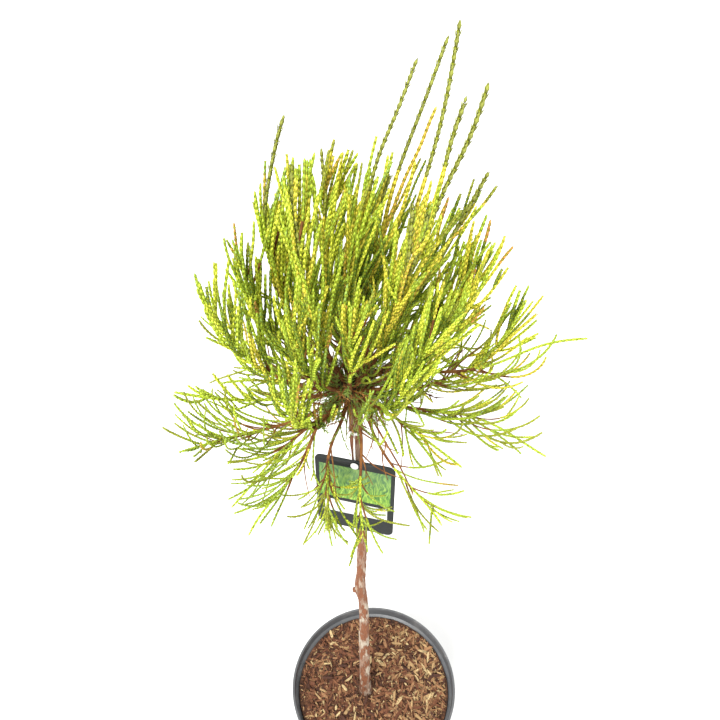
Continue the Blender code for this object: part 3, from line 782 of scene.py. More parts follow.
# %% [markdown]
# Side threads leave a limb round its axis by the golden angle, so that no two stand above each
# other. They soon turn towards the light, which pulls the right half of the crown outwards a
# little, and stand side by side like cords. Where the limb hangs they hang too, loosely, and
# bend up at their ends. Each keeps to its limb's own space, which is what lies nearer to it than
# to any other limb, and out of the small cells of space that other threads have taken. One that
# can't is tried again at another angle and shorter, and at last skipped.

# %% Rule of growth
GOLDEN_ANGLE = math.radians(137.5)
NODE_STEP = 0.0025            # from leaf pair to leaf pair
STEEP_SLOPE = 44
UPRIGHT_LIFT = 0.62
THREADS_FACTOR = {"steep": 2.5, "upright": 2.3, "loose": 1.7}   # for each one of the plain solid
THICKER = {"left_reach": 1.8, "left_low": 0.6, "back_low_left": 0.5, "right_clump": 0.65, "right_reach": 0.7,
           "whip_middle": 1.6, "whip_right": 0.7, "whip_far_right": 0.45, "upper_right": 0.3,
           "right_high": 1.25, "back": 1.5, "upper_front_left": 1.3, "front": 0.7, "low_front_right": 1.2, "crown_back": 1.3,
           "back_right": 0.75, "right_fan": 0.85, "left_high": 1.6, "left_fan": 1.3, "back_left": 1.3, "upper_left": 1.2, "back_low_right": 1.0,
           "left_droop": 1.1, "front_left_droop": 0.85, "right_droop": 1.2, "back_droop": 0.5,
           "front_right_droop": 0.6, "right_hang": 0.6, "front_hang_left": 1.3}
LONGER = {"whip_middle": 0.95, "left_droop": 1.1, "back": 1.5, "back_right": 0.6, "upper_front_left": 1.0, "whip_top": 1.1, "crown_back": 0.80, "upper_left": 0.8, "upper_front_right": 0.95, "left_fan": 0.8,
          "left_high": 0.8, "back_left": 1.15, "right_fan": 0.65, "right_high": 1.05, "left_low": 0.6, "left_reach": 1.6, "right_droop": 1.4, "whip_right": 0.65,
          "whip_far_right": 0.75, "upper_right": 0.75, "right_clump": 1.15}
LONGER_LOOSE = 1.3
FIRST_THREAD = {"steep": 0.08, "upright": 0.08, "loose": 0.11}
FIRST_THREADS = {"front": 0.45, "front_right": 0.16, "front_left": 0.16}
BARE_BOUGH = 0.35             # the share of a bough that carries no thread at all
BARE_BOUGHS = {"right_clump": 0.60, "front_hang": 0.9, "front_hang_left": 0.8, "right_hang": 0.9}
BARE_CHANCES = {"steep": 0.10, "upright": 0.10, "loose": 0.35}
BARE_RUNS = (0.15, 0.45)      # how far up a thread is bare, if it is
DOWN = np.array((0.0, 0.0, -1.0))
THREAD_TRIES = 10
LEAVING_ANGLE = {"steep": (18, 36), "upright": (24, 46), "loose": (22, 56)}
OUTWARD_SHARE = {"steep": 0.11, "upright": 0.12, "loose": 0.40}
TURNING_RUN = {"steep": 0.013, "upright": 0.016, "twin": 0.020}
SWAY = {"steep": 0.08, "upright": 0.09, "twin": 0.02}
LIGHT_LEAN = 0.25             # how far the threads over the knuckle lean to the right
LEAN_SPREAD = 3.4             # how the lean changes with each metre to the right
LEANS = (-0.06, 0.42)
LIMB_LEANS = {"crown_back": 0.55, "right_high": 0.15, "upper_left": 0.10, "left_high": 0.08, "left_fan": 0.04,
              "right_clump": 0.18, "back": 0.30, "whip_top": 0.42, "whip_middle": 0.20,
              "upper_front_right": 0.40, "whip_right": 0.45, "upper_right": 0.50,
              "back_right": 0.50, "right_fan": 0.30, "front_right": 0.32}
LOOSE_LEAN = 0.5              # the share of the lean in the threads of a loose limb
ALONG_LIMB = {"steep": 0.4, "upright": 0.0, "loose": 0.3}   # how far threads follow their limb
ARCHED_SHARE = 0.20           # threads lower on an upright limb arch like those of a loose one
ARCHED_SHARES = {"right_clump": 0.30, "right_fan": 0.30, "low_front_right": 0.30, "front": 0.0,
                 "front_left": 0.0, "front_right": 0.0, "low_front_left": 0.0}
ARCHES = (60, 170)            # degrees of bend over ARCH_RUN of a loose thread
RISING = {                    # limbs whose loose threads all bend up: how far out they stand,
    "left_reach": (0.85, (50, 130), 1), "left_low": (0.80, (60, 130), 1),   # how much they
    "right_droop": (0.50, (45, 85), 1), "front_right_droop": (0.60, (50, 100), 1),  # bend and
    "front_left_droop": (0.58, (50, 105), 1), "left_droop": (0.42, (50, 115), 1),   # whether
    "right_hang": (0.80, (40, 90), 1), "right_clump": (0.80, (60, 120), -1),        # they leave
    "right_reach": (0.45, (60, 120), -1)}                                    # above or below
WANDER = 0.30                 # how far chance turns the way in which a loose thread bends
ARCH_RUN = 0.070
SAG = 0.15                    # how far loose threads start downwards
ARCH_WAYS = (1.0, 1.0, 1.0, 0.6, -0.4)
TIP_OVERRUN = {"steep": 0.014, "upright": 0.014, "loose": 0.015}
SPACE_MARGIN = {"steep": -0.012, "upright": -0.012, "loose": -0.018}   # how far spaces mesh
CELL = 0.0034                 # side of the cells that threads take, about a thread's thickness
ROOT_NODES = 4                # the first nodes may lie in any cell
TRUNK_CLEARANCE = 0.012
LABEL_CENTRE = np.array((-0.024, -0.0145, 0.588))
LABEL_YAW = math.radians(-15)
LABEL_WIDTH = 0.079
LABEL_HEIGHT = 0.099
LABEL_ROOM = 0.004
LEAF_ROOM = 0.004             # what the leaves at a thread's tip need beyond its last node
ROOM_LOW = np.array(cad_box[0]) + LEAF_ROOM
ROOM_HIGH = np.array(cad_box[1]) - LEAF_ROOM

Thread = namedtuple("Thread", "path order habit bare")


def habit_of(limb):
    """Name the way in which the threads of a limb grow."""
    if abs(limb.lift) <= UPRIGHT_LIFT:
        return "loose"
    return "steep" if limb.slope > STEEP_SLOPE else "upright"


def nearest(points, others):
    """Distance of each point to the nearest one of the others."""
    return np.linalg.norm(points[:, None] - others[None], axis=2).min(axis=1)


def near_label(points):
    """Whether any of the points is close to the hanging label."""
    turn = np.array(Matrix.Rotation(-LABEL_YAW, 3, "Z"))
    local = (points - LABEL_CENTRE) @ turn.T
    beside = np.abs(local[:, 0]) < LABEL_WIDTH / 2 + LABEL_ROOM
    level = np.abs(local[:, 2]) < LABEL_HEIGHT / 2 + LABEL_ROOM
    deep = (local[:, 1] > -0.005) & (local[:, 1] < 0.016)
    return bool((beside & level & deep).any())


def outgrown(points):
    """Whether any of the points is outside the box of the plain solids."""
    return bool(((points < ROOM_LOW) | (points > ROOM_HIGH)).any())


def cells_under(path):
    """Return the cells that a path runs through, past its root."""
    return set(map(tuple, np.floor(path[ROOT_NODES:] / CELL).astype(int).tolist()))


def wavy(path, rng, size, lengths=(0.035, 0.075)):
    """Return a path with the slight waves of a grown shoot, none at its root."""
    headings, normals, across = frames_along(path)
    run = np.arange(len(path)) * NODE_STEP
    rise = np.minimum(1.0, run / 0.03)[:, None]
    waves = []
    for _ in range(2):
        length, phase = rng.uniform(*lengths), rng.uniform(0, math.tau)
        waves.append((size * np.sin(run / length * math.tau + phase))[:, None])
    return path + rise * (normals * waves[0] + across * waves[1])


def grown_path(root, side, goal, length, habit, rng, arches=None):
    """Return a thread's points: it leaves along side, turns to its goal and sways a little."""
    count = max(3, round(length / NODE_STEP))
    run = (np.arange(count)[:, None] + 0.5) * (length / count)
    if habit == "loose":
        way = rng.choice(ARCH_WAYS)
        bend = rng.uniform(*arches) if arches else rng.uniform(*ARCHES) * way
        angle = math.radians(bend) * run / ARCH_RUN
        course = side * np.cos(angle) + unit(goal - side * side.dot(goal)) * np.sin(angle)
    else:
        turn = 1 - np.exp(-run / TURNING_RUN[habit])
        sway = np.array([rng.gauss(0, SWAY[habit]) for _ in range(3)])
        course = side * (1 - turn) + goal * turn + sway * (run / 0.05)
    path = np.vstack([root, root + np.cumsum(unit(course) * (length / count), axis=0)])
    return wavy(path, rng, 0.0004, (0.045, 0.095))


def perpendicular(heading):
    lightest = np.eye(3)[np.argmin(np.abs(heading))]
    return unit(np.cross(heading, lightest))


def turned_about(vector, axis, angle):
    return (vector * math.cos(angle) + np.cross(axis, vector) * math.sin(angle)
            + axis * axis.dot(vector) * (1 - math.cos(angle)))


print("three habits:", ", ".join(THREADS_FACTOR))

# %% Grow the stems and their side threads
limb_samples = {limb.place: limb_points(limb, np.linspace(0, limb.length, 40))
                for limb in LIMBS + DEAD_LIMBS}
stem_axis = middles[::12]
taken = set()


def stem_of(limb, rng):
    count = round(limb.length / NODE_STEP)
    path = limb_points(limb, np.linspace(0, limb.length, count + 1))
    path[0] -= limb_heading(limb, 0.0) * 0.004
    if habit_of(limb) == "loose":
        return wavy(path, rng, 0.0036, (0.110, 0.190))
    return wavy(path, rng, 0.0009, (0.080, 0.160))


def light_at(limb, root):
    """Return the way that a thread strives: up, fanned out and a little over to the right."""
    habit = habit_of(limb)
    lean = min(LEANS[1], max(LEANS[0], LIGHT_LEAN + LEAN_SPREAD * (root[0] - HEAD[0])))
    lean = LIMB_LEANS.get(limb.place, lean)
    lean *= LOOSE_LEAN if habit == "loose" else 1.0
    light = unit(np.array((lean, 0.0, 1.0)))
    return unit(light + ALONG_LIMB[habit] * limb_heading(limb, limb.length))


def side_threads(limb, stem, rng):
    """Return the side threads of one limb."""
    own = limb_samples[limb.place]
    others = np.vstack([limb_samples[place] for place in limb_samples if place != limb.place])
    first = limb.bough * BARE_BOUGHS.get(limb.place, BARE_BOUGH)
    reach_of_leaves = limb.length - first
    first_share = FIRST_THREADS.get(limb.place, FIRST_THREAD[habit_of(limb)])
    pull = max(0.0, limb.lift)
    count = round(limb.threads * THREADS_FACTOR[habit_of(limb)] * THICKER.get(limb.place, 1.0))
    leafy, arches, above = RISING.get(limb.place, (limb.leafy, None, 0))
    grown = []
    for k in range(count):
        share = first_share + (leafy - first_share) * k / (count - 1)
        reach = first + reach_of_leaves * share
        arched = share < ARCHED_SHARES.get(limb.place, ARCHED_SHARE) or reach < limb.bough
        habit = "loose" if arched else habit_of(limb)
        root = stem[round(reach / limb.length * (len(stem) - 1))]
        light = light_at(limb, root)
        heading = limb_heading(limb, reach)
        across = perpendicular(heading)
        for attempt in range(THREAD_TRIES):
            spin = GOLDEN_ANGLE * k + rng.uniform(-0.5, 0.5) + math.tau * attempt / THREAD_TRIES
            outward = turned_about(across, heading, spin)
            if habit == "loose" and outward[2] * above < 0:
                outward = -outward
            leaving = math.radians(rng.uniform(*LEAVING_ANGLE[habit]))
            side = heading * math.cos(leaving) + outward * math.sin(leaving)
            side = unit(side + DOWN * (max(0.0, -limb.lift) + SAG * (habit == "loose")))
            goal = unit(heading * (1 - pull) + light * pull + outward * OUTWARD_SHARE[habit])
            if habit == "loose":
                wander = np.array([rng.gauss(0, WANDER) for _ in range(3)])
                goal = unit(light + outward * OUTWARD_SHARE[habit] + wander)
            length = limb.thread * (1.10 - 0.40 * share) * rng.uniform(0.70, 1.15)
            length *= LONGER.get(limb.place, LONGER_LOOSE if habit == "loose" else 1.0)
            overrun = TIP_OVERRUN[habit] * rng.uniform(0.3, 1.0)
            length = min(length, reach_of_leaves * (1 - share) + overrun)
            length *= 1 - 0.4 * attempt / THREAD_TRIES
            path = grown_path(root, side, goal, length, habit, rng, arches)
            if free_to_grow(path, own, others, habit):
                taken.update(cells_under(path))
                bare = rng.uniform(*BARE_RUNS) if rng.random() < BARE_CHANCES[habit] else 0.0
                grown.append(Thread(path, 1, habit, bare))
                break
    return grown


def free_to_grow(path, own, others, habit):
    """Whether a new thread keeps to its limb's space and clear of label, stem and threads."""
    free = path[ROOT_NODES::2]
    if not len(free) or near_label(path) or nearest(free, stem_axis).min() < TRUNK_CLEARANCE:
        return False
    if outgrown(path):
        return False
    if (nearest(free, others) - nearest(free, own)).min() < SPACE_MARGIN[habit]:
        return False
    return taken.isdisjoint(cells_under(path))


print("rule of growth is ready")

# %% Grow the twigs and let it all grow
TWIG_COUNTS = {"steep": (0, 0, 1, 1), "upright": (0, 0, 1, 1), "loose": (0, 1, 1)}
TWIG_ANGLES = {"steep": (14, 24), "upright": (16, 28), "loose": (18, 36)}
TWIG_SHARES = (0.40, 0.90)    # of the thread's run that is left above the twig
SHORTEST_TWIG = 0.010
TWIG_TRIES = 3


def side_twigs(thread, rng):
    """Return the twigs on one side thread. They run beside it, and are shorter."""
    length = (len(thread.path) - 1) * NODE_STEP
    habit = thread.habit
    grown = []
    for _ in range(rng.choice(TWIG_COUNTS[habit]) if length > 0.035 else 0):
        for attempt in range(TWIG_TRIES):
            place = round((0.15 + 0.55 * rng.random()) * (len(thread.path) - 2))
            heading = unit(thread.path[place + 1] - thread.path[place])
            outward = turned_about(perpendicular(heading), heading, rng.uniform(0, math.tau))
            leaving = math.radians(rng.uniform(*TWIG_ANGLES[habit]))
            side = heading * math.cos(leaving) + outward * math.sin(leaving)
            goal = unit(heading + outward * OUTWARD_SHARE[habit] - DOWN * (habit == "loose"))
            size = length * (1 - place / len(thread.path)) * rng.uniform(*TWIG_SHARES)
            if size < SHORTEST_TWIG:
                continue
            path = grown_path(thread.path[place], side, goal, size, habit, rng)
            if near_label(path) or outgrown(path):
                continue
            if taken.isdisjoint(cells_under(path)):
                taken.update(cells_under(path))
                grown.append(Thread(path, 2, habit, 0.0))
                break
    return grown


rng = random.Random(7)
stems = {limb.place: stem_of(limb, rng) for limb in LIMBS}
for stem in stems.values():
    taken.update(cells_under(stem))
threads = []
for limb in LIMBS:
    grown = side_threads(limb, stems[limb.place], rng)
    threads += grown
    for thread in grown:
        threads += side_twigs(thread, rng)
run = sum((len(thread.path) - 1) * NODE_STEP for thread in threads)
print(len(threads), "threads and twigs, together", round(run, 1), "m long")

# %% [markdown]
# The long whips fork once, high up. The twin leaves at a narrow angle and runs beside its whip
# almost to the same height, as strong young shoots do.

# %% Twins of the whips
TWINS = {"whip_far_right": (0.60, 0.90, 190), "whip_middle": (0.40, 0.50, 350),
         "upper_front_right": (0.50, 0.95, 20), "crown_back": (0.42, 0.90, 200)}


def twin_of(stem, share, reach, azimuth, rng):
    """Return a shoot that leaves a whip at a share of its way, to one side of it."""
    place = round(share * (len(stem) - 1))
    heading = unit(stem[place + 1] - stem[place])
    aside = direction(math.radians(azimuth), 0.0)
    length = (len(stem) - 1 - place) * NODE_STEP * reach
    end = unit(stem[-1] - stem[place])
    return grown_path(stem[place], unit(heading + aside * 0.22), unit(end + aside * 0.07),
                      length, "twin", rng)


twins = [twin_of(stems[place], *row, rng) for place, row in TWINS.items()]
print(len(twins), "twins")

# %% [markdown]
# A thread is a green shoot hidden under scale leaves. The leaves stand in opposite pairs, each
# pair a quarter turn on from the one below, and press against the shoot, so the thread looks
# beaded. Here each leaf is a closed body of six triangles: a base, two sides, a keel and a tip
# that stands off a little. Numpy makes all the leaves of one thread at once.

# %% Scale leaves
LEAF_TRIANGLES = np.array([(0, 3, 1), (0, 2, 3), (0, 1, 2), (4, 1, 3), (4, 3, 2), (4, 2, 1)])
LeafForm = namedtuple("LeafForm", "length width seat keel tip")
SCALE_LEAF = LeafForm(length=0.0052, width=0.0022, seat=0.0009, keel=0.00040, tip=0.0011)
WHIP_LEAF = LeafForm(length=0.0064, width=0.0023, seat=0.0011, keel=0.0004, tip=0.0020)
AWL_LEAF = LeafForm(length=0.0058, width=0.0011, seat=0.0004, keel=0.0004, tip=0.0036)


def leaf_pairs(places, headings, faces, sides, scale, closing, form):
    """Return points and triangles of two opposite leaves at each place.

    A form's seat, its keel and its tip are distances from the thread's middle, the keel's from
    the seat. Closing is how far a pair's tips lean together over the end of the thread.
    """
    size = np.broadcast_to(np.reshape(scale, (-1, 1)), (len(places), 1))
    groups = []
    for way in (1.0, -1.0):
        out, across = faces * way, sides * way
        seat = places + headings * size * form.length * 0.52 + out * size * form.seat
        half = across * size * form.width / 2
        base = places + out * size * form.seat * 0.3
        ridge = seat + out * size * form.keel
        tip = places + headings * size * form.length + out * size * closing * form.tip
        groups.append(np.stack([base, seat - half, seat + half, ridge, tip], axis=1))
    points = np.concatenate(groups).reshape(-1, 3)
    starts = np.arange(len(points) // 5)[:, None, None] * 5
    return points, (starts + LEAF_TRIANGLES[None]).reshape(-1, 3)


def leaves_along(path, scale, chosen=None, form=SCALE_LEAF):
    """Return points and triangles of the leaf pairs at the chosen nodes of a thread, or at all."""
    headings, normals, across = frames_along(path)
    nodes = np.arange(len(path)) if chosen is None else chosen
    odd = (np.arange(len(nodes)) % 2 == 1)[:, None]
    faces = np.where(odd, across[nodes], normals[nodes])
    sides = np.where(odd, -normals[nodes], across[nodes])
    to_end = len(path) - 1 - nodes
    slimming = np.minimum(1.0, 0.84 + 0.16 * to_end / 3)
    closing = np.minimum(1.0, 0.30 + 0.35 * to_end)[:, None]
    return leaf_pairs(path[nodes], headings[nodes], faces, sides, scale * slimming, closing, form)


print("one leaf has", len(LEAF_TRIANGLES), "triangles")

# %% [markdown]
# The crown isn't one green. Its left side is fresh lime, its top and its right side are golden,
# the inside and the low left are deeper and cooler, and a few tips are scorched orange. The
# deeper greens are painted shade for the most part: the dark tints go most to the inner threads
# low in the crown and to the threads of the lower, loose limbs. Each thread is dealt a tint for
# its lower half and one for its tip, by chance, weighted by how high and how far to each side it
# stands. Every tint has a finish of its own, with soft mottling.

# %% Tints of the foliage
LEAF_GLOSS = 0.24
LEAF_TINTS = {
    "gold": (0.930, 0.735, 0.080),
    "amber": (0.790, 0.530, 0.080),
    "lime": (0.760, 0.830, 0.075),
    "fresh": (0.580, 0.750, 0.070),
    "green": (0.380, 0.520, 0.050),
    "olive": (0.310, 0.330, 0.050),
    # deep is a dark green dealt mostly to the inner and lower threads, as painted shade there
    "deep": (0.125, 0.195, 0.015),
    "cool": (0.350, 0.520, 0.100),
    "rust": (0.560, 0.280, 0.060),
    "whip": (0.285, 0.305, 0.055),
}


def leaf_recipe(colour):
    def recipe(start):
        place = place_on(start)
        mottle = noise_of(place, 520.0, 3.0, 0.6)
        drift = noise_of(place, 26.0, 2.0)
        body = mixed(step_between(mottle, 0.36, 0.62), shade(colour, 0.66), shade(colour, 1.15))
        body = mixed(step_between(drift, 0.40, 0.68) * 0.4, body, shade(colour, 1.25))
        return body, mottle * 0.25 + 0.45, mottle, 0.0002
    return recipe


def tints_of(thread, rng):
    """Deal a tint for the lower half of a thread and one for its tip."""
    tip = thread.path[-1]
    right = min(1.0, max(0.0, (tip[0] - HEAD[0] + 0.10) / 0.20))
    out = math.hypot(tip[0] - HEAD[0], tip[1] - HEAD[1]) / 0.13
    high = min(1.0, max(0.0, (tip[2] - 0.75) / 0.16))
    if thread.habit == "loose":
        # the loose threads of the lower limbs get much green and deep: partly their own colour, partly
        # painted shade under the crown
        weights = {"lime": 0.3, "fresh": 2, "green": 5, "cool": 6 - 4 * right,
                   "gold": 0.4 + 1.6 * right, "amber": 0.8, "olive": 4, "deep": 3}
    else:
        warm = high * (0.15 + right)
        # deep weighs most on inner threads low in the crown: painted shade where the crown is thick
        weights = {"gold": 0.1 + 1.8 * right + 8.0 * warm, "amber": 0.1 + 2.0 * warm,
                   "lime": 4 + 3 * (1 - right), "fresh": 2 + 4 * (1 - right), "green": 2.2 - right,
                   "deep": 0.5 + max(0.0, 40.0 - 29.0 * out) * (1 - high) * (0.15 + 0.9 * right), "cool": 0.3}
    lower = rng.choices(list(weights), list(weights.values()))[0]
    if rng.random() < 0.3:
        return lower, lower
    firm = thread.habit != "loose"
    weights = {"lime": 2.5 * firm, "gold": 2 * high * right, "fresh": 1.5 + 2 * firm, "green": 3,
               "olive": 3 - 2 * firm + high * right, "deep": 0.4, "cool": 2 * (1 - right)}
    return lower, rng.choices(list(weights), list(weights.values()))[0]


rng = random.Random(19)
COARSER_BEHIND = 1.3          # how the threads thicken with each metre to the back
SPLITS = {"steep": (0.55, 0.85), "upright": (0.50, 0.80), "loose": (0.35, 0.65)}
SCALES = {"steep": 1.04, "upright": 1.04, "loose": 0.84}
leaf_heaps = {tint: Heap() for tint in LEAF_TINTS}
core_heap, brown_heap = Heap(), Heap()
for thread in threads:
    lower, upper = tints_of(thread, rng)
    path = thread.path
    bare = min(round(thread.bare * len(path)), len(path) - 4)
    scale = SCALES[thread.habit] * rng.uniform(0.88, 1.12) * (0.92 if thread.order == 2 else 1.0)
    scale *= 1 + COARSER_BEHIND * (path[0][1] - HEAD[1])
    radii = np.linspace(0.00105, 0.00085, len(path)) * scale
    if bare > 2:
        brown_heap.add(*tube(path[:bare + 1], radii[:bare + 1], 4))
        path, radii = path[bare:], radii[bare:]
    ends = np.append(np.arange(0, len(path) - 1, 2), len(path) - 1)
    core_heap.add(*tube(path[ends], radii[ends], 4))
    points, triangles = leaves_along(path[:-1], scale)
    split = round(len(path) * rng.uniform(*SPLITS[thread.habit]))
    if rng.random() < 0.02 and len(path) > 16:
        split, upper = len(path) - 8, "rust"
    nodes = np.arange(len(points) // 5) % (len(path) - 1)
    for tint, chosen in ((lower, nodes < split), (upper, nodes >= split)):
        kept = np.repeat(chosen, 5)
        renumbered = np.cumsum(kept) - 1
        faces = triangles[np.repeat(chosen, len(LEAF_TRIANGLES))]
        if len(faces):
            leaf_heaps[tint].add(points[kept], renumbered[faces])

# %% [markdown]
# The stems of the limbs are leafy shoots too, but older. Near the knuckle they are bare and
# brown. Further out they carry the same scales, a little coarser, and the long whips show
# their strong growth in swollen nodes: a larger pair of leaves every centimetre.

# %% Leaves on the stems and the whips
WHIP_NODES = 2                # nodes from one long leaf pair of a whip to the next
WHIP_SCALE = 1.45
BARE_SHARE = {"steep": 0.28, "upright": 0.34, "loose": 0.50}
STEM_RADII = {"steep": (0.0021, 0.0010), "upright": (0.0019, 0.0010), "loose": (0.0016, 0.0007)}

for place, stem in list(stems.items()) + [("twin", twin) for twin in twins]:
    limb = next((limb for limb in LIMBS if limb.place == place), None)
    habit = habit_of(limb) if limb else "steep"
    stem = stem[:-2]
    bare_run = max(BARE_SHARE[habit], limb.bough / limb.length) if limb else 0.0
    bare = round(len(stem) * bare_run)
    radii = np.linspace(*STEM_RADII[habit], len(stem))
    if bare:
        brown_heap.add(*tube(stem[:bare + 1], radii[:bare + 1] * 1.05, 8))
    core_heap.add(*tube(stem[bare:], radii[bare:] * 0.9, 4))
    if habit == "steep":
        middle = bare + (len(stem) - bare) // 2
        leaf_heaps["gold"].add(*leaves_along(stem[bare:middle], WHIP_SCALE))
        upper = np.arange(middle - 1, len(stem) - 1, WHIP_NODES)
        leaf_heaps["whip"].add(*leaves_along(stem, 1.40, upper, WHIP_LEAF))
        leaf_heaps["whip"].add(*leaves_along(stem[middle - 1:], 1.15))
    else:
        scale = 1.12 if habit == "upright" else 0.95
        leaf_heaps["fresh"].add(*leaves_along(stem[bare:], scale))

foliage_nodes = sorted(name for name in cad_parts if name.startswith("foliage_"))
for tint, heap in leaf_heaps.items():
    finish = new_finish("scale leaves " + tint, leaf_recipe(LEAF_TINTS[tint]), 0.5, LEAF_GLOSS)
    settle(heap.piece("leaves_" + tint, finish), "foliage", *foliage_nodes)
# The shoots are a darker green than most leaves: partly their own colour, partly painted shade in the gaps
# between the leaves.
shaded_core_finish = new_finish("green shoots", leaf_recipe((0.340, 0.380, 0.024)), 0.6, LEAF_GLOSS)
settle(core_heap.piece("thread_shoots", shaded_core_finish), "foliage", *foliage_nodes)

# %% [markdown]
# Inside the crown little light is left. The knuckle and the roots of the limbs are crowded with
# short dark twiglets whose leaves stand off like awls, with small dead spurs and with last year's
# bare twigs, which grow longer on the loose lower limbs. All are short tubes that start inside
# the wood and stand out on all sides.

# %% Knuckle twiglets
KNUCKLE_TWIGLETS = 240
LIMB_TWIGLETS = 9
TWIGLET_ZONE = {"steep": 0.046, "upright": 0.046, "loose": 0.020}   # how far out they stand


def spur(root, course, length, rng, steps=7):
    bend = np.array([rng.uniform(-0.30, 0.30) for _ in range(3)])
    shares = np.linspace(0, 1, steps)[:, None]
    return root + unit(course) * length * shares + bend * length * shares ** 2


def off_side(stem, place, spread, rng):
    """Return a course that leaves a stem at one of its points, to a side dealt by chance."""
    heading = unit(stem[place + 1] - stem[place])
    aside = turned_about(perpendicular(heading), heading, rng.uniform(0, math.tau))
    return heading + aside * spread


rng = random.Random(43)
dark_heap, scorched_heap = Heap(), Heap()
twiglets = []
for number in range(KNUCKLE_TWIGLETS):
    course = direction(rng.uniform(0, math.tau), math.asin(rng.uniform(-0.85, 1.0)))
    root = HEAD + course * HEAD_RADIUS * 0.8
    twiglets.append(spur(root, course + np.array((0, 0, 0.2)), rng.uniform(0.008, 0.028), rng))
for limb in LIMBS:
    stem, zone = stems[limb.place], TWIGLET_ZONE[habit_of(limb)]
    for number in range(LIMB_TWIGLETS):
        place = 1 + rng.randrange(round(zone / NODE_STEP))
        twiglets.append(spur(stem[place], off_side(stem, place, 0.9, rng),
                             rng.uniform(0.008, 0.024), rng))
for path in twiglets:
    kind = rng.choice(("leafy", "leafy", "leafy", "scorched", "bare"))
    if kind != "bare":
        heap = dark_heap if kind == "leafy" else scorched_heap
        heap.add(*tube(path, np.linspace(0.0007, 0.0003, len(path)), 3))
        heap.add(*leaves_along(path[1:], rng.uniform(0.7, 1.15), None, AWL_LEAF))
    else:
        brown_heap.add(*tube(path, np.linspace(0.0010, 0.0003, len(path)), 4))
print(len(twiglets), "twiglets")

# %% Bare and dead twigs
SPURS = {"steep": (1, 2), "upright": (1, 2, 3), "loose": (2, 3, 4)}
SPUR_LENGTHS = {"steep": (0.008, 0.026), "upright": (0.008, 0.030), "loose": (0.012, 0.044)}
CLUMP_SPURS = ((0.40, 0.034, (0.25, -0.1, 1.0)), (0.26, 0.022, (0.5, -0.8, 0.3)))


def add_dead_twig(path, thick, forks, rng):
    """Add a bare twig with some short forks."""
    brown_heap.add(*tube(path, np.linspace(thick, thick * 0.4, len(path)), 5))
    for _ in range(forks):
        place = rng.randrange(len(path) // 3, len(path) - 1)
        fork = spur(path[place], off_side(path, place, 0.7, rng), rng.uniform(0.005, 0.016), rng)
        brown_heap.add(*tube(fork, np.linspace(thick * 0.6, thick * 0.3, len(fork)), 4))


for limb in LIMBS:
    stem, habit = stems[limb.place], habit_of(limb)
    for number in range(rng.choice(SPURS[habit])):
        place = rng.randrange(3, round(len(stem) * 0.55))
        path = spur(stem[place], off_side(stem, place, 0.9, rng),
                    rng.uniform(*SPUR_LENGTHS[habit]), rng, 11)
        if not near_label(path):
            add_dead_twig(path, 0.0008, rng.choice((0, 1)), rng)
clump = stems["right_clump"]
for share, length, course in CLUMP_SPURS:
    add_dead_twig(spur(clump[round(share * len(clump))], np.array(course), length, rng, 13),
                  0.0011, 4, rng)
for limb in DEAD_LIMBS:
    path = wavy(limb_points(limb, np.linspace(0, limb.length, 34)), rng, 0.0010, (0.05, 0.10))
    add_dead_twig(path, 0.0013, 2, rng)


def twig_recipe(start):
    place = place_on(start)
    rings = noise_of(place, 700.0, 3.0, 0.6)
    drift = step_between(noise_of(place, 90.0, 2.0), 0.42, 0.62)
    brown = mixed(rings, (0.060, 0.019, 0.006), (0.215, 0.080, 0.024))
    return mixed(drift * 0.5, brown, (0.340, 0.150, 0.038)), None, rings, 0.0004


bough_nodes = sorted(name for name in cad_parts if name.startswith(("bough_", "dead_")))
settle(dark_heap.piece("knuckle_twiglets",
                       new_finish("shaded leaves", leaf_recipe((0.240, 0.320, 0.050)), 0.6)),
       "foliage", *foliage_nodes)
settle(scorched_heap.piece("scorched_twiglets",
                           new_finish("scorched leaves", leaf_recipe((0.420, 0.190, 0.045)), 0.6)),
       "foliage", *foliage_nodes)
settle(brown_heap.piece("brown_boughs", new_finish("brown twig bark", twig_recipe, 0.8, 0.2)),
       "twig_bark", *bough_nodes)

# %% [markdown]
# The label is a stiff plastic card with round corners. Its print is a plain design of its own:
# a field of soft green blades over a pale band and a dark foot, with no words. The card is an
# extruded outline with a fine bevel, and the print is a sum of steps over the card's own width
# and height, so it stays sharp at any distance.

# %% Label
LABEL_THICKNESS = 0.0008
LABEL_CORNER = 0.007
LABEL_HOLE_RADIUS = 0.0026
LABEL_HOLE_DROP = 0.007


def label_recipe(start):
    place = place_on(start)
    x = place.node("ShaderNodeSeparateXYZ", {}, {0: place}, "X")
    z = place.node("ShaderNodeSeparateXYZ", {}, {0: place}, "Z")
    wind = noise_of(place, 40.0, 2.0) * 0.02
    lean = place.node("ShaderNodeCombineXYZ", {}, {0: x * 1.0 + wind, 1: 0.0, 2: z * 0.16})
    blades = noise_of(lean, 620.0, 3.0, 0.6)
    green = ramped(blades, [(0.32, (0.020, 0.070, 0.020)), (0.46, (0.120, 0.270, 0.040)),
                            (0.58, (0.290, 0.480, 0.060)), (0.72, (0.520, 0.680, 0.140))])
    fade = step_between(z, -0.004, 0.034)
    green = mixed(fade * 0.5, green, (0.100, 0.170, 0.120))
    ground = mixed(noise_of(place, 300.0), (0.009, 0.011, 0.010), (0.024, 0.028, 0.026))
    field = (z > -0.006) * (1 - (z > 0.0385))
    band = (z > -0.0280) * (1 - (z > -0.0105)) * (x > -0.0330) * (1 - (x > 0.0330))
    side = (x > -0.0355) * (1 - (x > 0.0355))
    colour = mixed(field * side, ground, green)
    colour = mixed(band, colour, (0.760, 0.770, 0.740))
    return colour, None, noise_of(place, 500.0), 0.00002


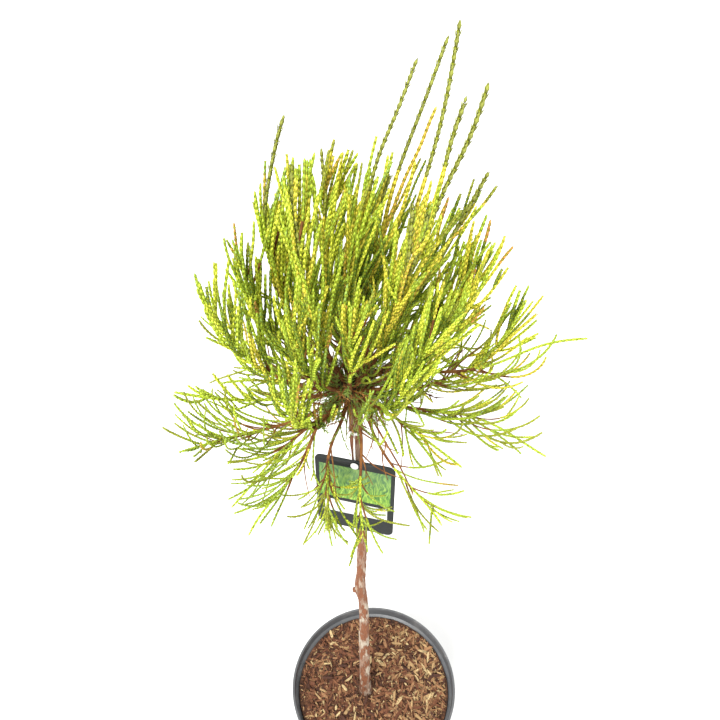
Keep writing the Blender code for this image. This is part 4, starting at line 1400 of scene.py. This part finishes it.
def label_card():
    shape = bmesh.new()
    corners = []
    for sign_x, sign_z, start in ((1, 1, 0), (-1, 1, 90), (-1, -1, 180), (1, -1, 270)):
        for step in range(9):
            angle = math.radians(start + 90 * step / 8)
            corners.append(shape.verts.new((
                sign_x * (LABEL_WIDTH / 2 - LABEL_CORNER) + LABEL_CORNER * math.cos(angle),
                LABEL_THICKNESS / 2,
                sign_z * (LABEL_HEIGHT / 2 - LABEL_CORNER) + LABEL_CORNER * math.sin(angle))))
    face = shape.faces.new(corners)
    pushed = bmesh.ops.extrude_face_region(shape, geom=[face])
    moved = [item for item in pushed["geom"] if isinstance(item, bmesh.types.BMVert)]
    bmesh.ops.translate(shape, verts=moved, vec=(0.0, -LABEL_THICKNESS, 0.0))
    bmesh.ops.recalc_face_normals(shape, faces=shape.faces)
    rim = [edge for edge in shape.edges if len(edge.link_faces) == 2 and edge.calc_face_angle() > 1]
    bmesh.ops.bevel(shape, geom=rim, offset=0.00018, segments=2, affect="EDGES")
    return shape


label_finish = new_finish("printed card", label_recipe, 0.42, 0.2)
label = from_bmesh("label_card", label_card(), label_finish, 30)
punch = bmesh.new()
bmesh.ops.create_cone(punch, cap_ends=True, segments=32, radius1=LABEL_HOLE_RADIUS,
                      radius2=LABEL_HOLE_RADIUS, depth=LABEL_THICKNESS * 8,
                      matrix=Matrix.Translation((0, 0, LABEL_HEIGHT / 2 - LABEL_HOLE_DROP))
                      @ Matrix.Rotation(math.pi / 2, 4, "X"))
drill_out(label, [from_bmesh("punch", punch, label_finish)])
label.location = LABEL_CENTRE
label.rotation_euler = (0.0, 0.0, LABEL_YAW)
settle(label, "label_card", "plant_label")
print("label of", LABEL_WIDTH, "by", LABEL_HEIGHT, "m")

# %% [markdown]
# A white plastic loop holds the label. It closes round the stem under the crown, its tail
# hangs behind the card, and a stud with a round button comes through the card's hole. The loop
# is a turned band with rounded edges, and the rest are short tubes whose radii make the dome
# of the button.

# %% Strap
STRAP_CENTRE = np.array((-0.0225, 0.0, 0.664))
STRAP_RING_RADIUS = 0.0072
STRAP_WIDTH = 0.0034
STRAP_THICKNESS = 0.0010


def strap_recipe(start):
    place = place_on(start)
    tone = noise_of(place, 260.0, 3.0)
    return mixed(tone, (0.70, 0.70, 0.67), (0.84, 0.84, 0.82)), None, tone, 0.0001


strap_heap = Heap()
angles = np.linspace(0, math.tau, 65)
loop_rings, loop_sides = 64, 12
across = math.tau * np.arange(loop_sides) / loop_sides
flat_x = np.sign(np.cos(across)) * np.abs(np.cos(across)) ** 0.5 * STRAP_THICKNESS / 2
flat_z = np.sign(np.sin(across)) * np.abs(np.sin(across)) ** 0.5 * STRAP_WIDTH / 2
ring_points = []
for angle in angles[:-1]:
    outward = np.array((math.cos(angle), math.sin(angle), 0.0))
    for dx, dz in zip(flat_x, flat_z):
        ring_points.append(STRAP_CENTRE + outward * (STRAP_RING_RADIUS + dx) + np.array((0, 0, dz)))
ring_faces = []
for ring in range(loop_rings):
    following = (ring + 1) % loop_rings
    for k in range(loop_sides):
        after = (k + 1) % loop_sides
        corner = [ring * loop_sides + k, following * loop_sides + k,
                  following * loop_sides + after, ring * loop_sides + after]
        ring_faces.append((corner[0], corner[1], corner[2]))
        ring_faces.append((corner[0], corner[2], corner[3]))
strap_heap.add(np.array(ring_points), np.array(ring_faces))

front = np.array((math.sin(LABEL_YAW), -math.cos(LABEL_YAW), 0.0))
hole = LABEL_CENTRE + np.array((0, 0, LABEL_HEIGHT / 2 - LABEL_HOLE_DROP))
behind = hole - front * (LABEL_THICKNESS / 2 + GAP * 2 + 0.0008)
start = STRAP_CENTRE + front * STRAP_RING_RADIUS
foot = behind - np.array((0, 0, 0.0008))
shares = np.linspace(0, 1, 18)[:, None]
tail = start + (foot - start) * shares + front * 0.0014 * np.sin(shares * math.pi)
strap_heap.add(*tube(tail, np.full(18, 0.0008), 12))
stud = np.array([behind, hole + front * 0.0004, hole + front * 0.0008])
strap_heap.add(*tube(stud, np.array([0.0019, 0.0019, 0.0019]), 20))
dome = np.array([hole + front * (LABEL_THICKNESS / 2 + GAP + d) for d in (0, 0.0003, 0.0007, 0.0010)])
strap_heap.add(*tube(dome, np.array([0.0036, 0.0040, 0.0037, 0.0024]), 32))
settle(strap_heap.piece("strap_and_button", new_finish("white plastic", strap_recipe, 0.4)),
       "strap_plastic", "label_strap")
